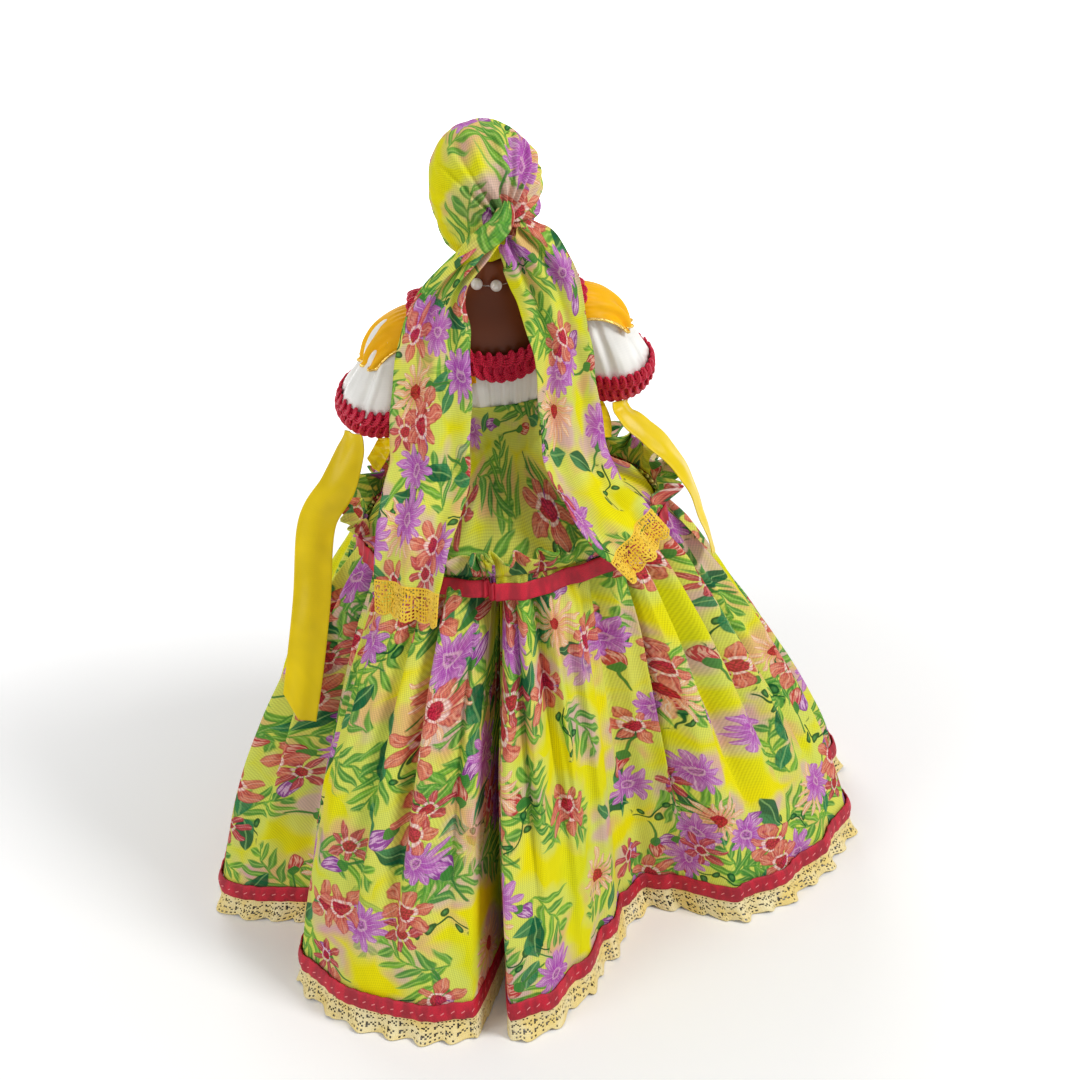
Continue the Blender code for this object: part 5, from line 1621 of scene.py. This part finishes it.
# %% [markdown]
# ## Pearls
# A string of lacquered beads lies round the foot of the neck on a clear thread.

# %% The necklace


def make_moulded(name, slot, roughness, dark, light, patches, grain, depth, detail=2.0,
                 painted=None, **plain):
    """Moulded plastic: two close tones in soft patches and a faint grain, painted over or not."""
    made, shader, n = new_material(name, slot, roughness, **plain)
    place = n.node("ShaderNodeTexCoord", out=3)
    base = n.blend(n.step(n.noise(place, patches), 0.3, 0.7), dark, light)
    if painted is not None:
        base = painted(n, place, base)
    finish_material(n, shader, base, n.noise(place, grain, detail), depth, 0.0001)
    return made


pearl_lacquer = make_moulded("pearl lacquer", "pearl", 0.18, colour(240, 234, 224),
                             colour(250, 240, 236), 160.0, 900.0, 0.08, Coat_Weight=0.6,
                             Coat_Roughness=0.08, Specular_IOR_Level=0.6, Sheen_Weight=0.3,
                             Sheen_Tint=(*colour(255, 214, 214), 1.0))


def make_thread_material():
    made, shader, n = new_material("clear thread", "pearl", 0.15, Transmission_Weight=0.85,
                                   IOR=1.45)
    place = n.node("ShaderNodeTexCoord", out=3)
    base = n.blend(n.noise(place, 700.0), colour(236, 236, 232), colour(250, 250, 248))
    finish_material(n, shader, base)
    return made


PEARLS, PEARL = 13, 0.0023
NECKLACE_Z = 0.2822


def necklace_point(angle, away):
    low = NECKLACE_Z - 0.0028 * sin(angle) ** 2
    return lifted(torso_point, angle, low - 0.6 * PEARL, away)


def make_necklace():
    bm = bmesh.new()
    for k in range(PEARLS):
        angle = TURN * k / PEARLS + pi / 2 - 0.02
        centre = necklace_point(angle, PEARL + 0.0003)
        bmesh.ops.create_uvsphere(bm, u_segments=24, v_segments=14, radius=PEARL,
                                  matrix=Matrix.Translation(centre))
    make_piece("pearls", bm, pearl_lacquer, "torso", node="necklace")
    bm, uv = new_cloth()
    lay_cord(bm, uv, lambda share: (necklace_point(TURN * share, PEARL), Vector((0, 0, 1))),
             0.00022, steps=90)
    bmesh.ops.remove_doubles(bm, verts=bm.verts, dist=MERGE)
    make_piece("pearl_thread", bm, make_thread_material(), "torso")


make_necklace()

# %% [markdown]
# ## Skin
# The body is moulded in brown vinyl. Each rigid part is copied, its small faces are joined back
# into bigger ones, and a subdivision rounds them. The vinyl is a little darker in soft
# patches and has the faint orange peel of a mould.

# %% Vinyl skin


VINYL = (colour(88, 40, 16), colour(112, 54, 22), 30.0, 1500.0, 0.05, 1.0)
vinyl = make_moulded("brown vinyl", "brown_vinyl", 0.42, *VINYL, Specular_IOR_Level=0.22,
                     Subsurface_Weight=0.04, Subsurface_Scale=0.002)


def smooth_copy(node, name, material, body, levels=2):
    """A rounded copy of a CAD solid, which stands in its place."""
    bm = bmesh.new()
    bm.from_mesh(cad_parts[node].data)
    bmesh.ops.remove_doubles(bm, verts=bm.verts, dist=MERGE)
    bmesh.ops.join_triangles(bm, faces=bm.faces, angle_face_threshold=radians(25),
                             angle_shape_threshold=radians(40))
    bmesh.ops.recalc_face_normals(bm, faces=bm.faces)
    made = make_piece(name, bm, material, body, node=node)
    rounding = made.modifiers.new("rounding", "SUBSURF")
    rounding.levels = levels
    rounding.render_levels = levels
    return made


for node in ("torso", "left_arm", "right_arm", "left_leg", "right_leg"):
    smooth_copy(node, node + "_skin", vinyl, node)

# %% [markdown]
# The face is painted on the moulded head, as on most dolls of this kind. Each feature is an oval
# in the x and z of the object, laid over the vinyl colour, and only on the front of the head.

# %% The painted face

EYE_X, EYE_Z = 0.0074, 0.3118
LIPS_Z, BROW_Z = 0.2993, 0.3166


def paint_face(n, place, base):
    """Lays the eyes, with a painted highlight in each, the brows, cheeks and lips over the colour
    of the vinyl.
    """
    x, y, z = n.parts(place)
    side = abs(x)

    def patch(across, up, wide, tall, soft=0.12, bow=0.0, paired=True):
        """A soft oval, bent up or down at its ends by bow."""
        dx = ((side if paired else x) - across) / wide
        bent = dx * dx * bow + up
        dz = (z - bent) / tall
        far = n.math("SQRT", dx * dx + dz * dz)
        return n.fade(far, 1.0 - soft, 1.0 + soft)

    features = (
        (patch(0.0108, 0.3040, 0.0042, 0.0030, 0.7), colour(150, 52, 40), 0.45),
        (patch(EYE_X, EYE_Z + 0.0022, 0.0034, 0.0016, 0.5), colour(56, 24, 34), 0.55),
        (patch(EYE_X, BROW_Z, 0.0038, 0.0007, 0.35, -0.0012), colour(22, 10, 8), 1.0),
        (patch(EYE_X, EYE_Z, 0.0029, 0.0014), colour(232, 226, 216), 1.0),
        (patch(EYE_X - 0.0002, EYE_Z, 0.0014, 0.0015), colour(70, 36, 14), 1.0),
        (patch(EYE_X - 0.0002, EYE_Z, 0.0007, 0.0007), colour(10, 6, 6), 1.0),
        # A small white dot in each eye is a painted highlight.
        (patch(EYE_X + 0.0003, EYE_Z + 0.0006, 0.0003, 0.0003), colour(255, 255, 255), 1.0),
        (patch(EYE_X, EYE_Z + 0.0015, 0.0032, 0.0005, 0.3, -0.0010), colour(14, 8, 8), 1.0),
        (patch(0.0012, LIPS_Z + 0.0006, 0.0018, 0.0008, 0.15), colour(170, 24, 40), 1.0),
        (patch(0.0, LIPS_Z - 0.0005, 0.0024, 0.0009, 0.15, paired=False), colour(178, 30, 46),
         1.0),
        (patch(0.0, LIPS_Z + 0.0002, 0.0028, 0.0002, 0.5, paired=False), colour(90, 10, 24),
         0.9),
    )
    front = n.fade(y, -0.006, -0.003)
    for mask, paint, strength in features:
        mask = mask * front * strength
        base = n.blend(mask, base, paint)
    return base


painted_vinyl = make_moulded("painted vinyl", "brown_vinyl", 0.36, *VINYL, paint_face,
                             Specular_IOR_Level=0.25, Subsurface_Weight=0.04,
                             Subsurface_Scale=0.002)
smooth_copy("head", "head_skin", painted_vinyl, "head")

# %% [markdown]
# The shoes are glossy red plastic, plain and flat soled.

# %% Shoes

shoe_plastic = make_moulded("shoe plastic", "shoe_plastic", 0.28, colour(176, 16, 34),
                            colour(204, 24, 42), 60.0, 1200.0, 0.04, Coat_Weight=0.3)
for label in ("left", "right"):
    smooth_copy(label + "_shoe", label + "_slipper", shoe_plastic, label + "_leg")

# %% [markdown]
# ## The floor, the light and the camera
# A large soft lamp above the camera, a paler one at the side and one in front of the doll light
# it evenly, as in a shop photograph. The world is white only where the camera sees it directly.

# %% Floor, lamps and camera

FOCAL_PIXELS, FRAME_PIXELS, SENSOR = 1892.9, 1080, 36.0
AZIMUTH, ELEVATION, ROLL = radians(170), radians(30), radians(-4.47)
CAMERA_AWAY, TARGET = 0.80, Vector((-0.01072, 0.00189, 0.15695))


def look_at(place, target, roll=0.0):
    forward = (Vector(target) - Vector(place)).normalized()
    turn = forward.to_track_quat("-Z", "Y").to_matrix().to_4x4()
    return Matrix.Translation(place) @ turn @ Matrix.Rotation(roll, 4, "Z")


def seen_directly(n):
    """1 for rays that start in the camera, 0 for the light that falls on the doll."""
    rays = n.add("ShaderNodeLightPath")
    return n.max(rays["Is Camera Ray"], n.max(rays["Is Glossy Ray"], rays["Is Transmission Ray"]))


def make_floor():
    made, shader, n = new_material("studio floor", None, 0.9)
    seen = seen_directly(n)
    base = n.blend(seen, (0.70, 0.70, 0.70), (0.99, 0.99, 0.99))
    finish_material(n, shader, base)
    far = n.vector("LENGTH", n.node("ShaderNodeTexCoord", out=3), out=1)
    glow = n.step(far, 0.15, 0.9) * seen
    shader.inputs["Emission Color"].default_value = (1.0, 1.0, 1.0, 1.0)
    n.link(glow, shader.inputs["Emission Strength"])
    bm = bmesh.new()
    bmesh.ops.create_grid(bm, x_segments=2, y_segments=2, size=6.0)
    floor = mesh_object("floor", bm, made)
    floor.location.z = -0.0002


def make_lamp(name, place, size, power):
    data = bpy.data.lights.new(name, "AREA")
    data.shape = "DISK"
    data.size = size
    data.energy = power
    new_object(name, data).matrix_world = look_at(place, (0.0, 0.0, 0.15))


def make_world():
    world = bpy.data.worlds.new("studio")
    bpy.context.scene.world = world
    world.use_nodes = True
    n = Net(world.node_tree)
    seen = seen_directly(n)
    background = world.node_tree.nodes["Background"]
    n.link(n.blend(seen, (0.45, 0.45, 0.45), (1.0, 1.0, 1.0)), background.inputs["Color"])
    background.inputs["Strength"].default_value = 1.0


def make_camera():
    data = bpy.data.cameras.new("camera")
    data.sensor_width = SENSOR
    data.lens = FOCAL_PIXELS / FRAME_PIXELS * SENSOR
    camera = new_object("camera", data)
    away = Vector((sin(AZIMUTH) * cos(ELEVATION), -cos(AZIMUTH) * cos(ELEVATION), sin(ELEVATION)))
    camera.matrix_world = look_at(TARGET + away * CAMERA_AWAY, TARGET, ROLL)
    bpy.context.scene.camera = camera
    print("camera at", tuple(round(v, 3) for v in camera.location))


make_floor()
make_world()
make_lamp("key", (-1.05, 0.80, 1.3), 0.55, 16.5)
make_lamp("left side", (1.3, 0.6, 0.8), 0.9, 6.5)
make_lamp("front", (0.2, -1.3, 1.1), 0.9, 7.0)
make_camera()
bpy.context.scene.view_settings.view_transform = "Standard"
